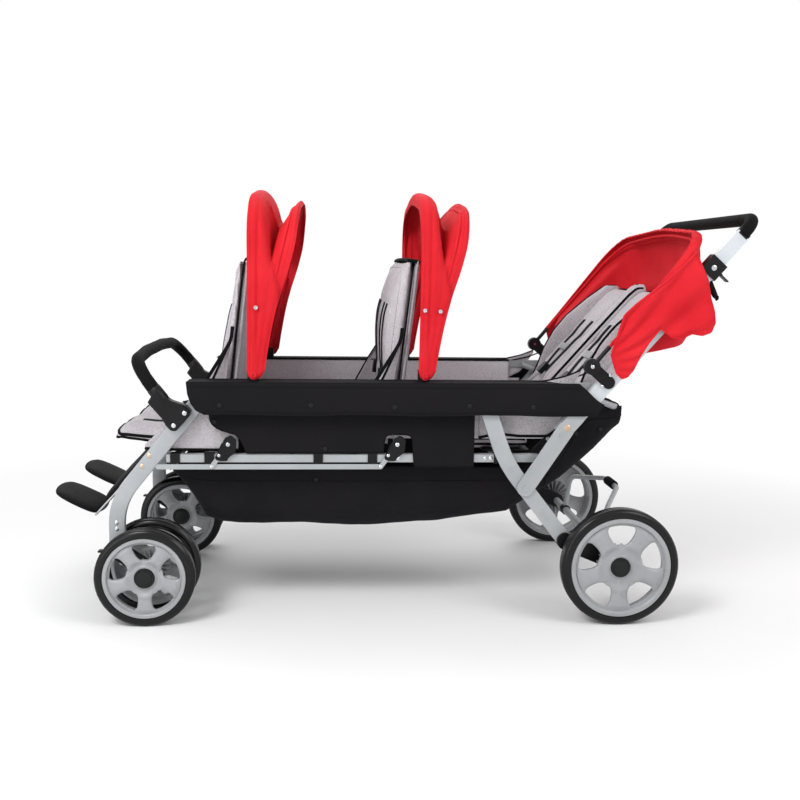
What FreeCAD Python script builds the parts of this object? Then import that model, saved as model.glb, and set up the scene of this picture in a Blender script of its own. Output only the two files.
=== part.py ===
"""Six seat daycare stroller: three rows of two seats on a folding steel frame.

Frame of the model: +X points to the rear, where the push handle is, +Y to the right of
someone who faces forward, +Z up. The floor is Z = 0 and the part is symmetric about Y = 0.
Every length is in millimetres and stands once in the sheet called sizes.
"""
import FreeCAD, Part
import Sketcher
import math
import os

V = FreeCAD.Vector
doc = FreeCAD.newDocument("daycare_stroller")

# Every driving size: alias, value, meaning. Lengths in mm, angles in degrees.
SIZES = [
    ("datum_shift", -185.1, "moves the whole part along X so that its box is centred"),
    # wheels
    ("rear_wheel_radius", 152.0, "rear tyre, 12 inch class"),
    ("rear_wheel_wide", 45.0, "rear tyre width"),
    ("rear_rim_radius", 129.0, "visible rim under the rear tyre"),
    ("rear_axle_x", 740.0, "rear axle line"),
    ("rear_wheel_inner_y", 349.0, "inner face of a rear tyre"),
    ("front_wheel_radius", 125.0, "front tyre, 10 inch class"),
    ("front_wheel_wide", 40.0, "front tyre width"),
    ("front_rim_radius", 103.0, "visible rim under the front tyre"),
    ("front_twin_gap", 60.0, "space between the two tyres of a caster"),
    ("caster_trail", 76.0, "caster axle behind its swivel line"),
    ("hub_cap_radius", 26.0, "black cap in the middle of a wheel"),
    ("hub_cap_deep", 5.0, "cap thickness"),
    ("hub_radius", 40.0, "solid middle of a rim"),
    ("rim_ring_deep", 14.0, "radial depth of the rim ring"),
    ("rim_web_thick", 12.0, "thickness of the spoked web"),
    ("spoke_count", 5.0, "spokes in a wheel"),
    ("spoke_wide", 44.0, "clear stretch left between two windows"),
    ("tyre_shoulder", 9.0, "how far the tyre is bevelled at its shoulders"),
    ("tyre_seat", 0.3, "space between tyre and rim"),
    ("axle_radius", 8.0, "wheel axle"),
    ("axle_slack", 0.05, "running clearance round an axle or pin"),
    ("wheel_side_slack", 2.0, "axial play beside a wheel"),
    # side frames
    ("frame_y", 296.0, "middle plane of the fixed side frame"),
    ("tube_thick", 20.0, "side frame tube, across the stroller"),
    ("tube_wide", 40.0, "side frame tube, seen from the side"),
    ("tube_wall", 1.8, "tube wall"),
    ("rail_tall", 20.0, "square rail, seen from the side"),
    ("layer_gap", 0.3, "space between stacked flat pieces"),
    ("caster_x", -541.0, "swivel line of the front casters"),
    ("front_leg_bottom_z", 208.0, "lower end of a front leg"),
    ("front_leg_bend_z", 306.0, "where the front leg leans back"),
    ("front_leg_bend_radius", 90.0, "bend of the front leg"),
    ("front_leg_top_x", -318.0, "upper end of a front leg"),
    ("front_leg_top_z", 583.0, "upper end of a front leg"),
    ("top_rail_top_z", 615.7, "upper face of the top rail"),
    ("top_rail_front_x", -352.0, "front end of the top rail"),
    ("top_rail_rear_x", 668.0, "rear end of the top rail"),
    ("seat_rail_z", 420.0, "middle of the seat rail"),
    ("seat_rail_front_x", -414.0, "front end of the seat rail"),
    ("seat_rail_rear_x", 534.0, "rear end of the seat rail"),
    ("cross_radius", 11.0, "round cross tube"),
    ("cross_wall", 1.5, "wall of a cross tube"),
    ("cross_front_x", -392.0, "cross tube under the front edge of the front seat"),
    ("cross_front_back_x", -307.0, "cross tube under the back of the front seat"),
    ("cross_middle_x", -33.0, "cross tube under the middle seat"),
    ("cross_middle_back_x", 105.0, "cross tube under the back of the middle seat"),
    ("cross_rear_x", 430.0, "cross tube under the rear seat"),
    ("collar_long", 24.0, "black collar round the seat rail"),
    ("rail_collar_skin", 3.0, "wall of that collar"),
    ("board_thick", 4.0, "board under a seat"),
    ("board_set", 82.0, "seat board behind the front edge of its cushion"),
    ("leg_cross_x", -500.0, "cross tube between the front legs"),
    ("leg_cross_z", 356.0, "cross tube between the front legs"),
    # rear leg and push bar
    ("fold_y", 314.5, "inner face of the folding side pieces"),
    ("leg_thick", 18.0, "rear leg, across the stroller"),
    ("leg_pivot_x", 395.0, "upper hinge of the rear leg"),
    ("leg_pivot_z", 555.0, "upper hinge of the rear leg"),
    ("leg_knee_x", 446.0, "middle of the rear leg"),
    ("leg_knee_z", 412.0, "middle of the rear leg"),
    ("leg_knee_radius", 330.0, "long bend of the rear leg"),
    ("leg_foot_x", 606.0, "lower end of the rear leg"),
    ("leg_foot_z", 208.0, "lower end of the rear leg"),
    ("lock_x", 497.0, "pin where the push bar locks on the leg"),
    ("lock_z", 349.0, "pin where the push bar locks on the leg"),
    ("lock_radius", 5.0, "lock pin"),
    ("lock_slack", 1.2, "space round the lock pin in its notch"),
    ("lock_mouth_angle", 10.0, "mouth of the lock notch above the horizontal"),
    ("push_x", 600.0, "hinge of the push bar"),
    ("push_z", 505.0, "hinge of the push bar"),
    ("push_angle", 48.8, "push bar above the horizontal"),
    ("push_tail", 22.0, "push tube below its hinge"),
    ("push_tube_long", 545.0, "push tube above its hinge"),
    ("plate_thick", 3.5, "lock plate of the push bar"),
    ("plate_wide", 44.0, "lock plate, seen from the side"),
    ("pin_radius", 5.0, "hinge bolt"),
    ("head_radius", 8.0, "rivet head"),
    ("head_thick", 1.6, "rivet head"),
    ("small_head_radius", 5.0, "small rivet or screw head"),
    ("clamp_long", 47.0, "handle clamp along the tube"),
    ("clamp_skin", 4.0, "clamp wall round the tube"),
    ("handle_out", 88.0, "handle arm that shows above the clamp"),
    ("handle_wide", 35.8, "handle arm, seen from the side"),
    ("handle_thick", 15.8, "handle arm, across the stroller"),
    ("handle_hidden", 150.0, "handle arm inside the push tube"),
    ("grip_radius", 16.5, "foam grip"),
    ("grip_reach", 52.0, "grip corner beyond the arm's end"),
    ("grip_bend_radius", 44.0, "bend of the grip"),
    ("lever_long", 24.0, "clamp lever"),
    ("lever_thick", 4.0, "clamp lever"),
    ("lever_wide", 16.0, "clamp lever"),
    ("knob_x", 654.0, "rear canopy pivot"),
    ("knob_z", 664.0, "rear canopy pivot"),
    ("knob_radius", 20.0, "rear canopy pivot knob"),
    ("knob_thick", 9.0, "rear canopy pivot knob"),
    # axle and brake
    ("axle_tube_radius", 11.0, "rear axle tube"),
    ("bracket_wide", 44.0, "axle bracket, seen from the side"),
    ("rear_boss", 6.0, "hub boss on the inner side of a rear wheel"),
    ("front_boss", 6.0, "hub boss on the inner side of a front wheel"),
    ("brake_tube_radius", 7.0, "brake bar"),
    ("brake_arm_y", 200.0, "where the brake bar meets the axle"),
    ("brake_knee_x", 753.0, "bend of the brake bar"),
    ("brake_knee_z", 258.0, "bend of the brake bar"),
    ("brake_out_x", 822.0, "cross part of the brake bar"),
    ("brake_out_z", 284.0, "cross part of the brake bar"),
    ("brake_cross_y", 60.0, "half length of the cross part"),
    ("brake_pad_long", 66.0, "rubber brake tread"),
    ("brake_pad_radius", 13.0, "rubber brake tread"),
    ("brake_bend_radius", 30.0, "bends of the brake bar"),
    ("collar_wide", 26.0, "collar that turns on the axle"),
    ("collar_skin", 4.0, "collar wall"),
    # caster fork
    ("fork_head_radius", 21.0, "round head of a caster fork"),
    ("fork_head_tall", 46.0, "round head of a caster fork"),
    ("fork_arm_wide", 34.0, "arm of a caster fork"),
    ("stem_radius", 6.0, "swivel stem"),
    ("stem_long", 60.0, "swivel stem inside the leg"),
    ("caster_tab_long", 24.0, "swivel lock tab"),
    ("caster_tab_thick", 5.0, "swivel lock tab"),
    ("caster_tab_wide", 16.0, "swivel lock tab"),
    # seats
    ("row_pitch", 427.0, "front row to middle row"),
    ("seatback_pivot_x", -259.0, "hinge of the front seatback"),
    ("seatback_pivot_z", 457.0, "hinge of the seatbacks"),
    ("seatback_shaft_radius", 5.0, "hinge shaft of a seatback"),
    ("seatback_tall", 442.0, "seatback above its hinge"),
    ("seatback_thick", 56.0, "seatback at its hinge"),
    ("seatback_lean", 6.5, "seatback behind the vertical"),
    ("seat_half_wide", 266.0, "half width of a seat"),
    ("front_seat_x", -548.0, "front edge of the front seat"),
    ("seat_deep", 203.0, "seat cushion, front to back"),
    ("seat_tall", 46.0, "seat cushion at its crown"),
    ("middle_seat_x", -122.0, "front edge of the middle seat"),
    ("rear_seat_x", 312.0, "front edge of the rear seat"),
    ("rear_seat_deep", 206.0, "rear seat, front to back"),
    ("rear_back_x", 562.0, "hinge of the rear backrest"),
    ("rear_back_z", 468.0, "hinge of the rear backrest"),
    ("rear_back_long", 495.0, "rear backrest, hinge to top"),
    ("rear_back_thick", 46.0, "rear backrest"),
    ("back_hoop_long", 430.0, "tube hoop, hinge to top"),
    ("back_hoop_half_wide", 236.0, "tube hoop, half width"),
    ("back_hoop_bend", 13.0, "bends of the tube hoop"),
    ("back_hoop_radius", 7.0, "tube hoop behind the rear backrest"),
    ("arm_drop_x", -42.0, "link pin from the seatback hinge"),
    ("arm_drop_z", -58.0, "link pin from the seatback hinge"),
    ("arm_wide", 18.0, "seatback arm"),
    ("flat_thick", 3.0, "flat steel"),
    ("link_tall", 13.0, "flat link bar"),
    ("link_front_x", -434.0, "front end of the link bar"),
    ("link_pin_radius", 3.5, "pin of the link bar"),
    ("link_slack", 0.6, "space round the open link pin"),
    # fabric
    ("cloth", 2.5, "thickness that stands for a cloth panel"),
    ("band_y", 341.0, "inner face of the side band"),
    ("band_front_x", -357.0, "front end of the side band"),
    ("band_front_low_x", -329.0, "front end of the side band, lower corner"),
    ("band_rear_x", 624.0, "rear end of the band's top edge"),
    ("band_tip_x", 692.0, "rear tip of the side band"),
    ("band_tip_z", 578.0, "rear tip of the side band"),
    ("band_low_x", 676.0, "rear end of the band's lower edge"),
    ("band_low_z", 538.0, "lower edge of the side band"),
    ("band_cover_x", 548.0, "rear end of the cover over the rail"),
    ("lining_low_z", 468.0, "lower edge of the grey lining"),
    ("panel_front_x", -228.0, "front edge of the seat side panel"),
    ("panel_rear_x", 366.0, "rear edge of the seat side panel"),
    ("panel_low_z", 434.0, "lower edge of the seat side panel"),
    ("panel_drop_x", 214.0, "where the panel drops over the rail"),
    ("panel_drop_z", 397.0, "lower edge of the dropped stretch"),
    ("arch_front_x", 134.0, "cut-out of the panel round the seatback arm, front"),
    ("arch_rear_x", 208.0, "cut-out of the panel round the seatback arm, rear"),
    ("arch_top_z", 482.0, "top of that cut-out"),
    ("basket_half_wide", 262.0, "half width of the storage basket"),
    ("basket_front_x", -405.0, "front top edge of the basket"),
    ("basket_top_z", 382.0, "top seam of the basket"),
    ("basket_low_front_x", -288.0, "front bottom edge of the basket"),
    ("basket_low_z", 236.0, "bottom of the basket"),
    ("basket_low_rear_x", 470.0, "rear bottom edge of the basket"),
    ("basket_tuck", 46.0, "rear tip of the basket below the hoop"),
    ("basket_mouth_x", 670.0, "front end of the basket's rear mouth"),
    ("basket_seat_x", 570.0, "rear end of the top seam"),
    ("basket_sag", 12.0, "sag of the basket's floor"),
    ("hoop_radius", 8.0, "basket hoop tube"),
    ("hoop_half_wide", 277.7, "half width of the basket hoop"),
    ("hoop_bend_radius", 50.0, "corners of the basket hoop"),
    ("hoop_front_x", 600.0, "front end of the basket hoop"),
    ("hoop_front_z", 604.0, "front end of the basket hoop"),
    ("hoop_rear_x", 752.0, "cross part of the basket hoop"),
    ("hoop_rear_z", 546.0, "cross part of the basket hoop"),
    # canopies
    ("canopy_pivot_x", -195.0, "pivot of the front canopy"),
    ("canopy_pivot_z", 636.0, "pivot of the upright canopies"),
    ("canopy_block_long", 28.0, "block that carries a canopy pivot"),
    ("canopy_block_over", 12.0, "block above its pivot"),
    ("canopy_pin_radius", 3.0, "canopy pivot pin"),
    ("canopy_rear_half_wide", 317.0, "half width of a rear canopy bow"),
    ("canopy_lip", 1.4, "angle that the cloth passes a bow, in degrees"),
    ("canopy_half_wide", 326.0, "half width of a canopy bow"),
    ("canopy_tall", 462.0, "front bow above its pivot"),
    ("canopy_rear_tall", 446.0, "rear bow above its pivot"),
    ("canopy_fold_tall", 392.0, "cloth fold between the bows"),
    ("canopy_front_lean", -1.0, "front bow behind the vertical"),
    ("canopy_fold_lean", 5.5, "cloth fold behind the vertical"),
    ("canopy_rear_lean", 13.0, "rear bow behind the vertical"),
    ("canopy_foot", 26.0, "start of the cloth above the pivot"),
    ("bow_radius", 4.0, "canopy bow"),
    ("bow_corner", 120.0, "corner of a canopy bow"),
    ("bow_crown", 38.0, "rise of a bow between its corners"),
    ("bow_eye_radius", 9.0, "eye at the end of a bow"),
    ("rear_canopy_tall", 452.0, "rear canopy bow from its pivot"),
    ("rear_canopy_lean", 40.0, "rear canopy bow behind the vertical"),
    ("rear_canopy_half_wide", 350.0, "half width of the rear canopy bow"),
    ("rear_lip", 5.0, "angle of cloth below the rear canopy bow, in degrees"),
    ("lobe_half_wide", 308.0, "half width of that bag"),
    # grab bar, footrest
    ("grab_radius", 16.5, "padded grab bar"),
    ("grab_half_wide", 323.5, "half width of the grab bar"),
    ("grab_foot_x", -394.0, "foot of the grab bar"),
    ("grab_foot_z", 541.0, "foot of the grab bar"),
    ("grab_top_x", -486.0, "cross part of the grab bar"),
    ("grab_top_z", 662.0, "cross part of the grab bar"),
    ("grab_bend_radius", 52.0, "corners of the grab bar"),
    ("mount_wide", 46.0, "grab bar mount"),
    ("mount_low_x", -389.0, "lower end of the grab bar mount"),
    ("mount_low_z", 509.0, "lower end of the grab bar mount"),
    ("mount_high_x", -362.0, "upper end of the grab bar mount"),
    ("mount_high_z", 540.0, "upper end of the grab bar mount"),
    ("mount_thick", 32.0, "grab bar mount"),
    ("calf_half_wide", 250.0, "half width of the calf rest"),
    ("calf_thick", 9.0, "calf rest padding"),
    ("wire_radius", 3.0, "footrest wire"),
    ("wire_pivot_x", -458.0, "cross wire that the calf rest turns on"),
    ("wire_pivot_z", 424.0, "cross wire that the calf rest turns on"),
    ("wire_low_x", -609.0, "cross wire that the footrest pads turn on"),
    ("wire_low_z", 257.0, "cross wire that the footrest pads turn on"),
    ("calf_start", 12.0, "top of the calf rest below the upper cross wire"),
    ("calf_short", 35.0, "lower end of the calf rest above the lower cross wire"),
    ("wire_bend", 10.0, "bends of the wire"),
    ("wire_half_wide", 246.0, "half width of the wire frame"),
    ("pad_long", 104.0, "footrest pad"),
    ("pad_wide", 172.0, "footrest pad"),
    ("pad_thick", 13.0, "footrest pad"),
    ("pad_set", 12.0, "footrest pad in front of its cross wire"),
    ("pad_corner", 22.0, "front corners of a footrest pad"),
    ("pad_pitch", 298.0, "middle to middle of the footrest pads"),
    ("pad_rise", 26.0, "footrest pad above the horizontal"),
    ("overrun", 2.0, "how far a cutting tool passes a face"),
]

sheet = doc.addObject("Spreadsheet::Sheet", "sizes")
for row, (alias, value, meaning) in enumerate(SIZES, start=1):
    sheet.set("A%d" % row, alias)
    sheet.set("B%d" % row, "%.6g" % value)
    sheet.set("C%d" % row, meaning)
    sheet.setAlias("B%d" % row, alias)
doc.recompute()


class Size(float):
    """A number that remembers the sheet formula that it came from."""

    def __new__(cls, value, text):
        item = float.__new__(cls, value)
        item.text = text
        return item

    def __add__(self, other):
        return Size(float(self) + float(other), "(%s + %s)" % (self.text, words(other)))

    def __radd__(self, other):
        return Size(float(other) + float(self), "(%s + %s)" % (words(other), self.text))

    def __sub__(self, other):
        return Size(float(self) - float(other), "(%s - %s)" % (self.text, words(other)))

    def __rsub__(self, other):
        return Size(float(other) - float(self), "(%s - %s)" % (words(other), self.text))

    def __mul__(self, other):
        return Size(float(self) * float(other), "(%s * %s)" % (self.text, words(other)))

    def __rmul__(self, other):
        return self * other

    def __truediv__(self, other):
        return Size(float(self) / float(other), "(%s / %s)" % (self.text, words(other)))

    def __neg__(self):
        return Size(-float(self), "(0 - %s)" % self.text)


def words(number):
    """A number as it stands in a sheet formula."""
    return number.text if isinstance(number, Size) else "%.8g" % number


class Dims:
    """Reads a size from the sheet by its alias."""

    def __getattr__(self, alias):
        return Size(sheet.get(alias), "sizes." + alias)


d = Dims()


def bind(node, **values):
    """Bind properties of an object to the sheet; x, y and z place it."""
    for name, value in values.items():
        path = "Placement.Base." + name if name in ("x", "y", "z") else name
        node.setExpression(path, words(value))
    return node


SIDES = (-1, 1)
nodes = {}


def shares(table, long, tall):
    """Points of an outline given as shares of a length and a height."""
    return [(a * long, b * tall) for a, b in table]


def unit(angle):
    """Unit vector in the side view, from an angle above +X in degrees."""
    return V(math.cos(math.radians(angle)), 0, math.sin(math.radians(angle)))


def along(base, angle, distance):
    """Point at a distance from a base point, at an angle above +X."""
    return base + unit(angle) * distance


def rounded_path(points, radius):
    """A wire of straight runs joined by tangent arcs of one radius, or of a listed one each."""
    radii = radius if isinstance(radius, list) else [radius] * (len(points) - 2)
    edges = []
    last = points[0]
    for before, corner, after, radius in zip(points, points[1:], points[2:], radii):
        a = (before - corner).normalize()
        b = (after - corner).normalize()
        half = a.getAngle(b) / 2
        reach = radius / math.tan(half)
        middle = corner + (a + b).normalize() * (radius / math.sin(half) - radius)
        start = corner + a * reach
        end = corner + b * reach
        edges.append(Part.LineSegment(last, start).toShape())
        edges.append(Part.Arc(start, middle, end).toShape())
        last = end
    edges.append(Part.LineSegment(last, points[-1]).toShape())
    return Part.Wire(edges)


def frame_at_start(path):
    """Start point and direction of a path."""
    edge = path.Edges[0]
    return edge.valueAt(edge.FirstParameter), edge.tangentAt(edge.FirstParameter)


def flat_section(path, wide, thick):
    """Rectangle square to a path in the side view: wide in view, thick along Y."""
    start, tangent = frame_at_start(path)
    side = tangent.cross(V(0, 1, 0)).normalize() * (wide / 2)
    deep = V(0, thick / 2, 0)
    corners = [start + side + deep, start - side + deep, start - side - deep, start + side - deep]
    return Part.makePolygon(corners + [corners[0]])


def round_section(path, radius):
    """Circle square to a path."""
    start, tangent = frame_at_start(path)
    return Part.Wire(Part.makeCircle(radius, start, tangent))


def sweep(path, section):
    """Solid swept along a path by one section."""
    return path.makePipeShell([section], True, False)


def flat_tube(points, radius, wide, thick, wall):
    """Hollow flat-sided tube along a bent line in the side view."""
    path = rounded_path(points, radius)
    outer = sweep(path, flat_section(path, wide, thick))
    inner = sweep(path, flat_section(path, wide - 2 * wall, thick - 2 * wall))
    return outer.cut(inner)


def round_bar(points, radius, bend):
    """Round bar along a bent line."""
    path = rounded_path(points, bend)
    return sweep(path, round_section(path, radius))


def round_tube(points, radius, bend, wall):
    """Hollow round tube along a bent line."""
    return round_bar(points, radius, bend).cut(round_bar(points, radius - wall, bend))


def plate(points, low_y, thick):
    """Flat plate in the side view, from an outline of (x, z) points."""
    outline = [V(x, low_y, z) for x, z in points]
    return Part.Face(Part.makePolygon(outline + [outline[0]])).extrude(V(0, thick, 0))


def rounded_plate(points, low_y, thick, radius):
    """Flat plate whose corners are rounded."""
    solid = plate(points, low_y, thick)
    upright = [e for e in solid.Edges if abs(e.tangentAt(e.FirstParameter).y) > 0.99]
    return solid.makeFillet(radius, upright)


def strap(start, end, wide, low_y, thick):
    """Flat bar with round ends between two (x, z) points."""
    a = V(start[0], low_y, start[1])
    b = V(end[0], low_y, end[1])
    run = (b - a).normalize()
    side = V(-run.z, 0, run.x) * (wide / 2)
    edges = [
        Part.LineSegment(a + side, b + side).toShape(),
        Part.Arc(b + side, b + run * (wide / 2), b - side).toShape(),
        Part.LineSegment(b - side, a - side).toShape(),
        Part.Arc(a - side, a - run * (wide / 2), a + side).toShape(),
    ]
    return Part.Face(Part.Wire(edges)).extrude(V(0, thick, 0))


def pin(x, z, low_y, high_y, radius):
    """Cylinder along Y."""
    return Part.makeCylinder(radius, high_y - low_y, V(x, low_y, z), V(0, 1, 0))


def mirrored(shape):
    """The same piece on the other side of the stroller."""
    return shape.mirror(V(0, 0, 0), V(0, 1, 0))


def both_sides(shape):
    """A piece and its mirror image, as separate solids."""
    return [shape, mirrored(shape)]


def add_node(name, solids):
    """Keep a sub-part built from shapes, under its own label."""
    node = doc.addObject("Part::Feature", name)
    node.Label = name
    node.Shape = solids[0] if len(solids) == 1 else Part.makeCompound(solids)
    node.Placement.Base = V(d.datum_shift, 0, 0)
    nodes[name] = node
    return node


def keep_feature(name, node):
    """Keep a parametric object as a sub-part, shifted to the datum."""
    node.Label = name
    nodes[name] = node
    return node


def combined(name, tool, base, *others):
    """Cut or fuse of parametric objects."""
    kind = {"cut": "Part::Cut", "fuse": "Part::MultiFuse"}[tool]
    node = doc.addObject(kind, name)
    if tool == "cut":
        node.Base = base
        node.Tool = others[0]
    else:
        node.Shapes = [base, *others]
    return node


def group(name, members):
    """Several parametric solids that make one sub-part."""
    node = doc.addObject("Part::Compound", name)
    node.Links = members
    bind(node, x=d.datum_shift)
    return keep_feature(name, node)


def cylinder_y(name, radius, low_y, high_y, x, z):
    """Parametric cylinder along Y."""
    node = doc.addObject("Part::Cylinder", name)
    node.Placement.Rotation = FreeCAD.Rotation(V(1, 0, 0), -90)
    return bind(node, Radius=radius, Height=high_y - low_y, x=x, y=low_y, z=z)


def block(name, low, high):
    """Parametric box between two corners."""
    node = doc.addObject("Part::Box", name)
    size = [b - a for a, b in zip(low, high)]
    bind(node, Length=size[0], Width=size[1], Height=size[2])
    return bind(node, x=low[0], y=low[1], z=low[2])


def tube_y(name, radius, wall, half_long, x, z):
    """Parametric hollow tube along Y, symmetric about the middle."""
    outer = cylinder_y(name + "_outer", radius, -half_long, half_long, x, z)
    reach = half_long + d.overrun
    inner = cylinder_y(name + "_bore", radius - wall, -reach, reach, x, z)
    return combined(name + "_tube", "cut", outer, inner)


def rail_x(name, side, low_x, high_x, middle_z):
    """Parametric square tube along X in one side frame."""
    half_y = d.tube_thick / 2
    half_z = d.rail_tall / 2
    middle_y = side * d.frame_y
    outer = block(
        name + "_outer",
        (low_x, middle_y - half_y, middle_z - half_z),
        (high_x, middle_y + half_y, middle_z + half_z),
    )
    in_y = half_y - d.tube_wall
    in_z = half_z - d.tube_wall
    inner = block(
        name + "_bore",
        (low_x - d.overrun, middle_y - in_y, middle_z - in_z),
        (high_x + d.overrun, middle_y + in_y, middle_z + in_z),
    )
    return combined(name + "_tube", "cut", outer, inner)


def origin_plane(body, role):
    """One of a body's own origin planes."""
    return next(f for f in body.Origin.OriginFeatures if f.Role == role)


def outline_sketch(body, name, role, points):
    """Closed outline on an origin plane, each corner bound to the sheet."""
    sketch = body.newObject("Sketcher::SketchObject", name)
    sketch.AttachmentSupport = [(origin_plane(body, role), "")]
    sketch.MapMode = "FlatFace"
    count = len(points)
    for i, (a, b) in enumerate(points):
        c, e = points[(i + 1) % count]
        sketch.addGeometry(Part.LineSegment(V(a, b, 0), V(c, e, 0)), False)
    for i in range(count):
        link = Sketcher.Constraint("Coincident", i, 2, (i + 1) % count, 1)
        sketch.addConstraint(link)
    for i, corner in enumerate(points):
        for kind, value in zip(("DistanceX", "DistanceY"), corner):
            if float(value) == 0:
                axis = -2 if kind == "DistanceX" else -1
                sketch.addConstraint(Sketcher.Constraint("PointOnObject", i, 1, axis))
                continue
            index = sketch.addConstraint(Sketcher.Constraint(kind, i, 1, float(value)))
            sketch.setExpression("Constraints[%d]" % index, words(value))
    return sketch


def turned_body(name, profile):
    """Body turned about Y from a profile of (y, radius) corners."""
    body = doc.addObject("PartDesign::Body", name)
    sketch = outline_sketch(body, name + "_profile", "YZ_Plane", profile)
    turn = body.newObject("PartDesign::Revolution", name + "_turn")
    turn.Profile = sketch
    turn.ReferenceAxis = (sketch, ["H_Axis"])
    turn.Angle = 360
    return body


def tyre_body(name, radius, wide, rim_radius):
    """Tyre whose tread is crowned and whose shoulders are bevelled."""
    half = wide / 2
    seat = rim_radius + d.tyre_seat
    shoulder = d.tyre_shoulder
    profile = [
        (-half, seat),
        (half, seat),
        (half, radius - shoulder * 1.5),
        (half - shoulder * 0.4, radius - shoulder * 0.6),
        (half - shoulder, radius - shoulder * 0.1),
        (half - shoulder * 1.5, radius),
        (shoulder * 1.5 - half, radius),
        (shoulder - half, radius - shoulder * 0.1),
        (shoulder * 0.4 - half, radius - shoulder * 0.6),
        (-half, radius - shoulder * 1.5),
    ]
    return turned_body(name, profile)


# A window of the wheel web, as shares of the free half width and of the web's radial span
WINDOW_SHARES = [
    (0.00, 0.08), (0.55, 0.10), (0.86, 0.34), (1.00, 0.66), (0.90, 0.86), (0.52, 0.955),
    (0.00, 0.985), (-0.52, 0.955), (-0.90, 0.86), (-1.00, 0.66), (-0.86, 0.34), (-0.55, 0.10),
]


def rim_body(name, side, aim, wide, rim_radius, boss):
    """Rim with a ring, a spoked web and a hub; side is where its cap sits, aim turns a window up."""
    outer = side * (wide / 2 - d.hub_cap_deep)
    inner = -side * (wide / 2 + boss)
    lip = side * (wide / 2 - d.hub_cap_deep)
    web = side * (d.rim_web_thick / 2)
    bore = d.axle_radius + d.axle_slack
    floor = rim_radius - d.rim_ring_deep
    profile = [
        (inner, bore), (outer, bore), (outer, d.hub_radius), (web, d.hub_radius),
        (web, floor), (lip, floor), (lip, rim_radius), (-lip, rim_radius),
        (-lip, floor), (-web, floor), (-web, d.hub_radius), (inner, d.hub_radius),
    ]
    body = turned_body(name, profile)
    spokes = int(round(d.spoke_count))
    sector = math.sin(math.pi / spokes)
    free = (floor * 0.86) * sector - d.spoke_wide / 2
    span = floor - d.hub_radius
    corners = [(a * free, aim * (d.hub_radius + b * span)) for a, b in WINDOW_SHARES]
    window = outline_sketch(body, name + "_window", "XZ_Plane", corners)
    cut = body.newObject("PartDesign::Pocket", name + "_cut")
    cut.Profile = window
    cut.Type = "ThroughAll"
    cut.Midplane = True
    ring = body.newObject("PartDesign::PolarPattern", name + "_windows")
    ring.Originals = [cut]
    ring.Axis = (window, ["N_Axis"])
    ring.Angle = 360
    ring.Occurrences = spokes
    body.Tip = ring
    return body


def wheel(name, side, aim, x, y, radius, wide, rim_radius, boss):
    """Tyre node and rim node of one wheel, with the cap on the named side."""
    tyre = tyre_body(name.replace("wheel", "tyre"), radius, wide, rim_radius)
    bind(tyre, x=x + d.datum_shift, y=y, z=radius)
    keep_feature(name.replace("wheel", "tyre"), tyre)
    rim = rim_body(name + "_rim_body", side, aim, wide, rim_radius, boss)
    bind(rim, x=x, y=y, z=radius)
    face = y + side * (wide / 2 - d.hub_cap_deep)
    low = face if side > 0 else face - d.hub_cap_deep
    cap = cylinder_y(name + "_cap", d.hub_cap_radius, low, low + d.hub_cap_deep, x, radius)
    group(name.replace("wheel", "rim"), [rim, cap])


SIDE_NAME = {-1: "left", 1: "right"}


def make_wheels():
    """Two rear wheels and four front wheels, two to a caster."""
    rear_middle = d.rear_wheel_inner_y + d.rear_wheel_wide / 2
    front_x = d.caster_x + d.caster_trail
    twin = (d.front_twin_gap + d.front_wheel_wide) / 2
    for side in SIDES:
        wheel(
            "rear_wheel_" + SIDE_NAME[side], side, 1, d.rear_axle_x, side * rear_middle,
            d.rear_wheel_radius, d.rear_wheel_wide, d.rear_rim_radius, d.rear_boss,
        )
        for place, hand in (("outer", side), ("inner", -side)):
            wheel(
                "front_wheel_%s_%s" % (SIDE_NAME[side], place), hand, -1, front_x,
                side * d.frame_y + hand * twin,
                d.front_wheel_radius, d.front_wheel_wide, d.front_rim_radius, d.front_boss,
            )


def make_casters():
    """Caster forks with their stems and axles, and the swivel lock tabs."""
    top = d.front_leg_bottom_z - d.layer_gap
    low = top - d.fork_head_tall
    axle_x = d.caster_x + d.caster_trail
    half = d.front_twin_gap / 2 - d.front_boss - d.wheel_side_slack
    twin = d.front_twin_gap / 2 + d.front_wheel_wide - d.hub_cap_deep - d.layer_gap
    for side in SIDES:
        y = side * d.frame_y
        head = Part.makeCylinder(d.fork_head_radius, d.fork_head_tall, V(d.caster_x, y, low))
        stem = Part.makeCylinder(d.stem_radius, d.stem_long, V(d.caster_x, y, top))
        shoulder = (d.caster_x, low + d.fork_arm_wide / 2)
        arm = strap(shoulder, (axle_x, d.front_wheel_radius), d.fork_arm_wide, y - half, 2 * half)
        axle = pin(axle_x, d.front_wheel_radius, y - twin, y + twin, d.axle_radius)
        add_node("caster_fork_" + SIDE_NAME[side], [head.fuse([stem, arm, axle])])
        knuckle = d.caster_x - d.fork_head_radius - d.layer_gap - d.caster_tab_thick / 2
        tab_z = low + d.caster_tab_wide
        tab = strap((knuckle, tab_z), (knuckle - d.caster_tab_long, tab_z), d.caster_tab_thick,
                    y - d.caster_tab_wide / 2, d.caster_tab_wide)
        add_node("caster_tab_" + SIDE_NAME[side], [tab])


def front_leg_line(y):
    """Centre line of a front leg."""
    return [
        V(d.caster_x, y, d.front_leg_bottom_z),
        V(d.caster_x, y, d.front_leg_bend_z),
        V(d.front_leg_top_x, y, d.front_leg_top_z),
    ]


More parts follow.
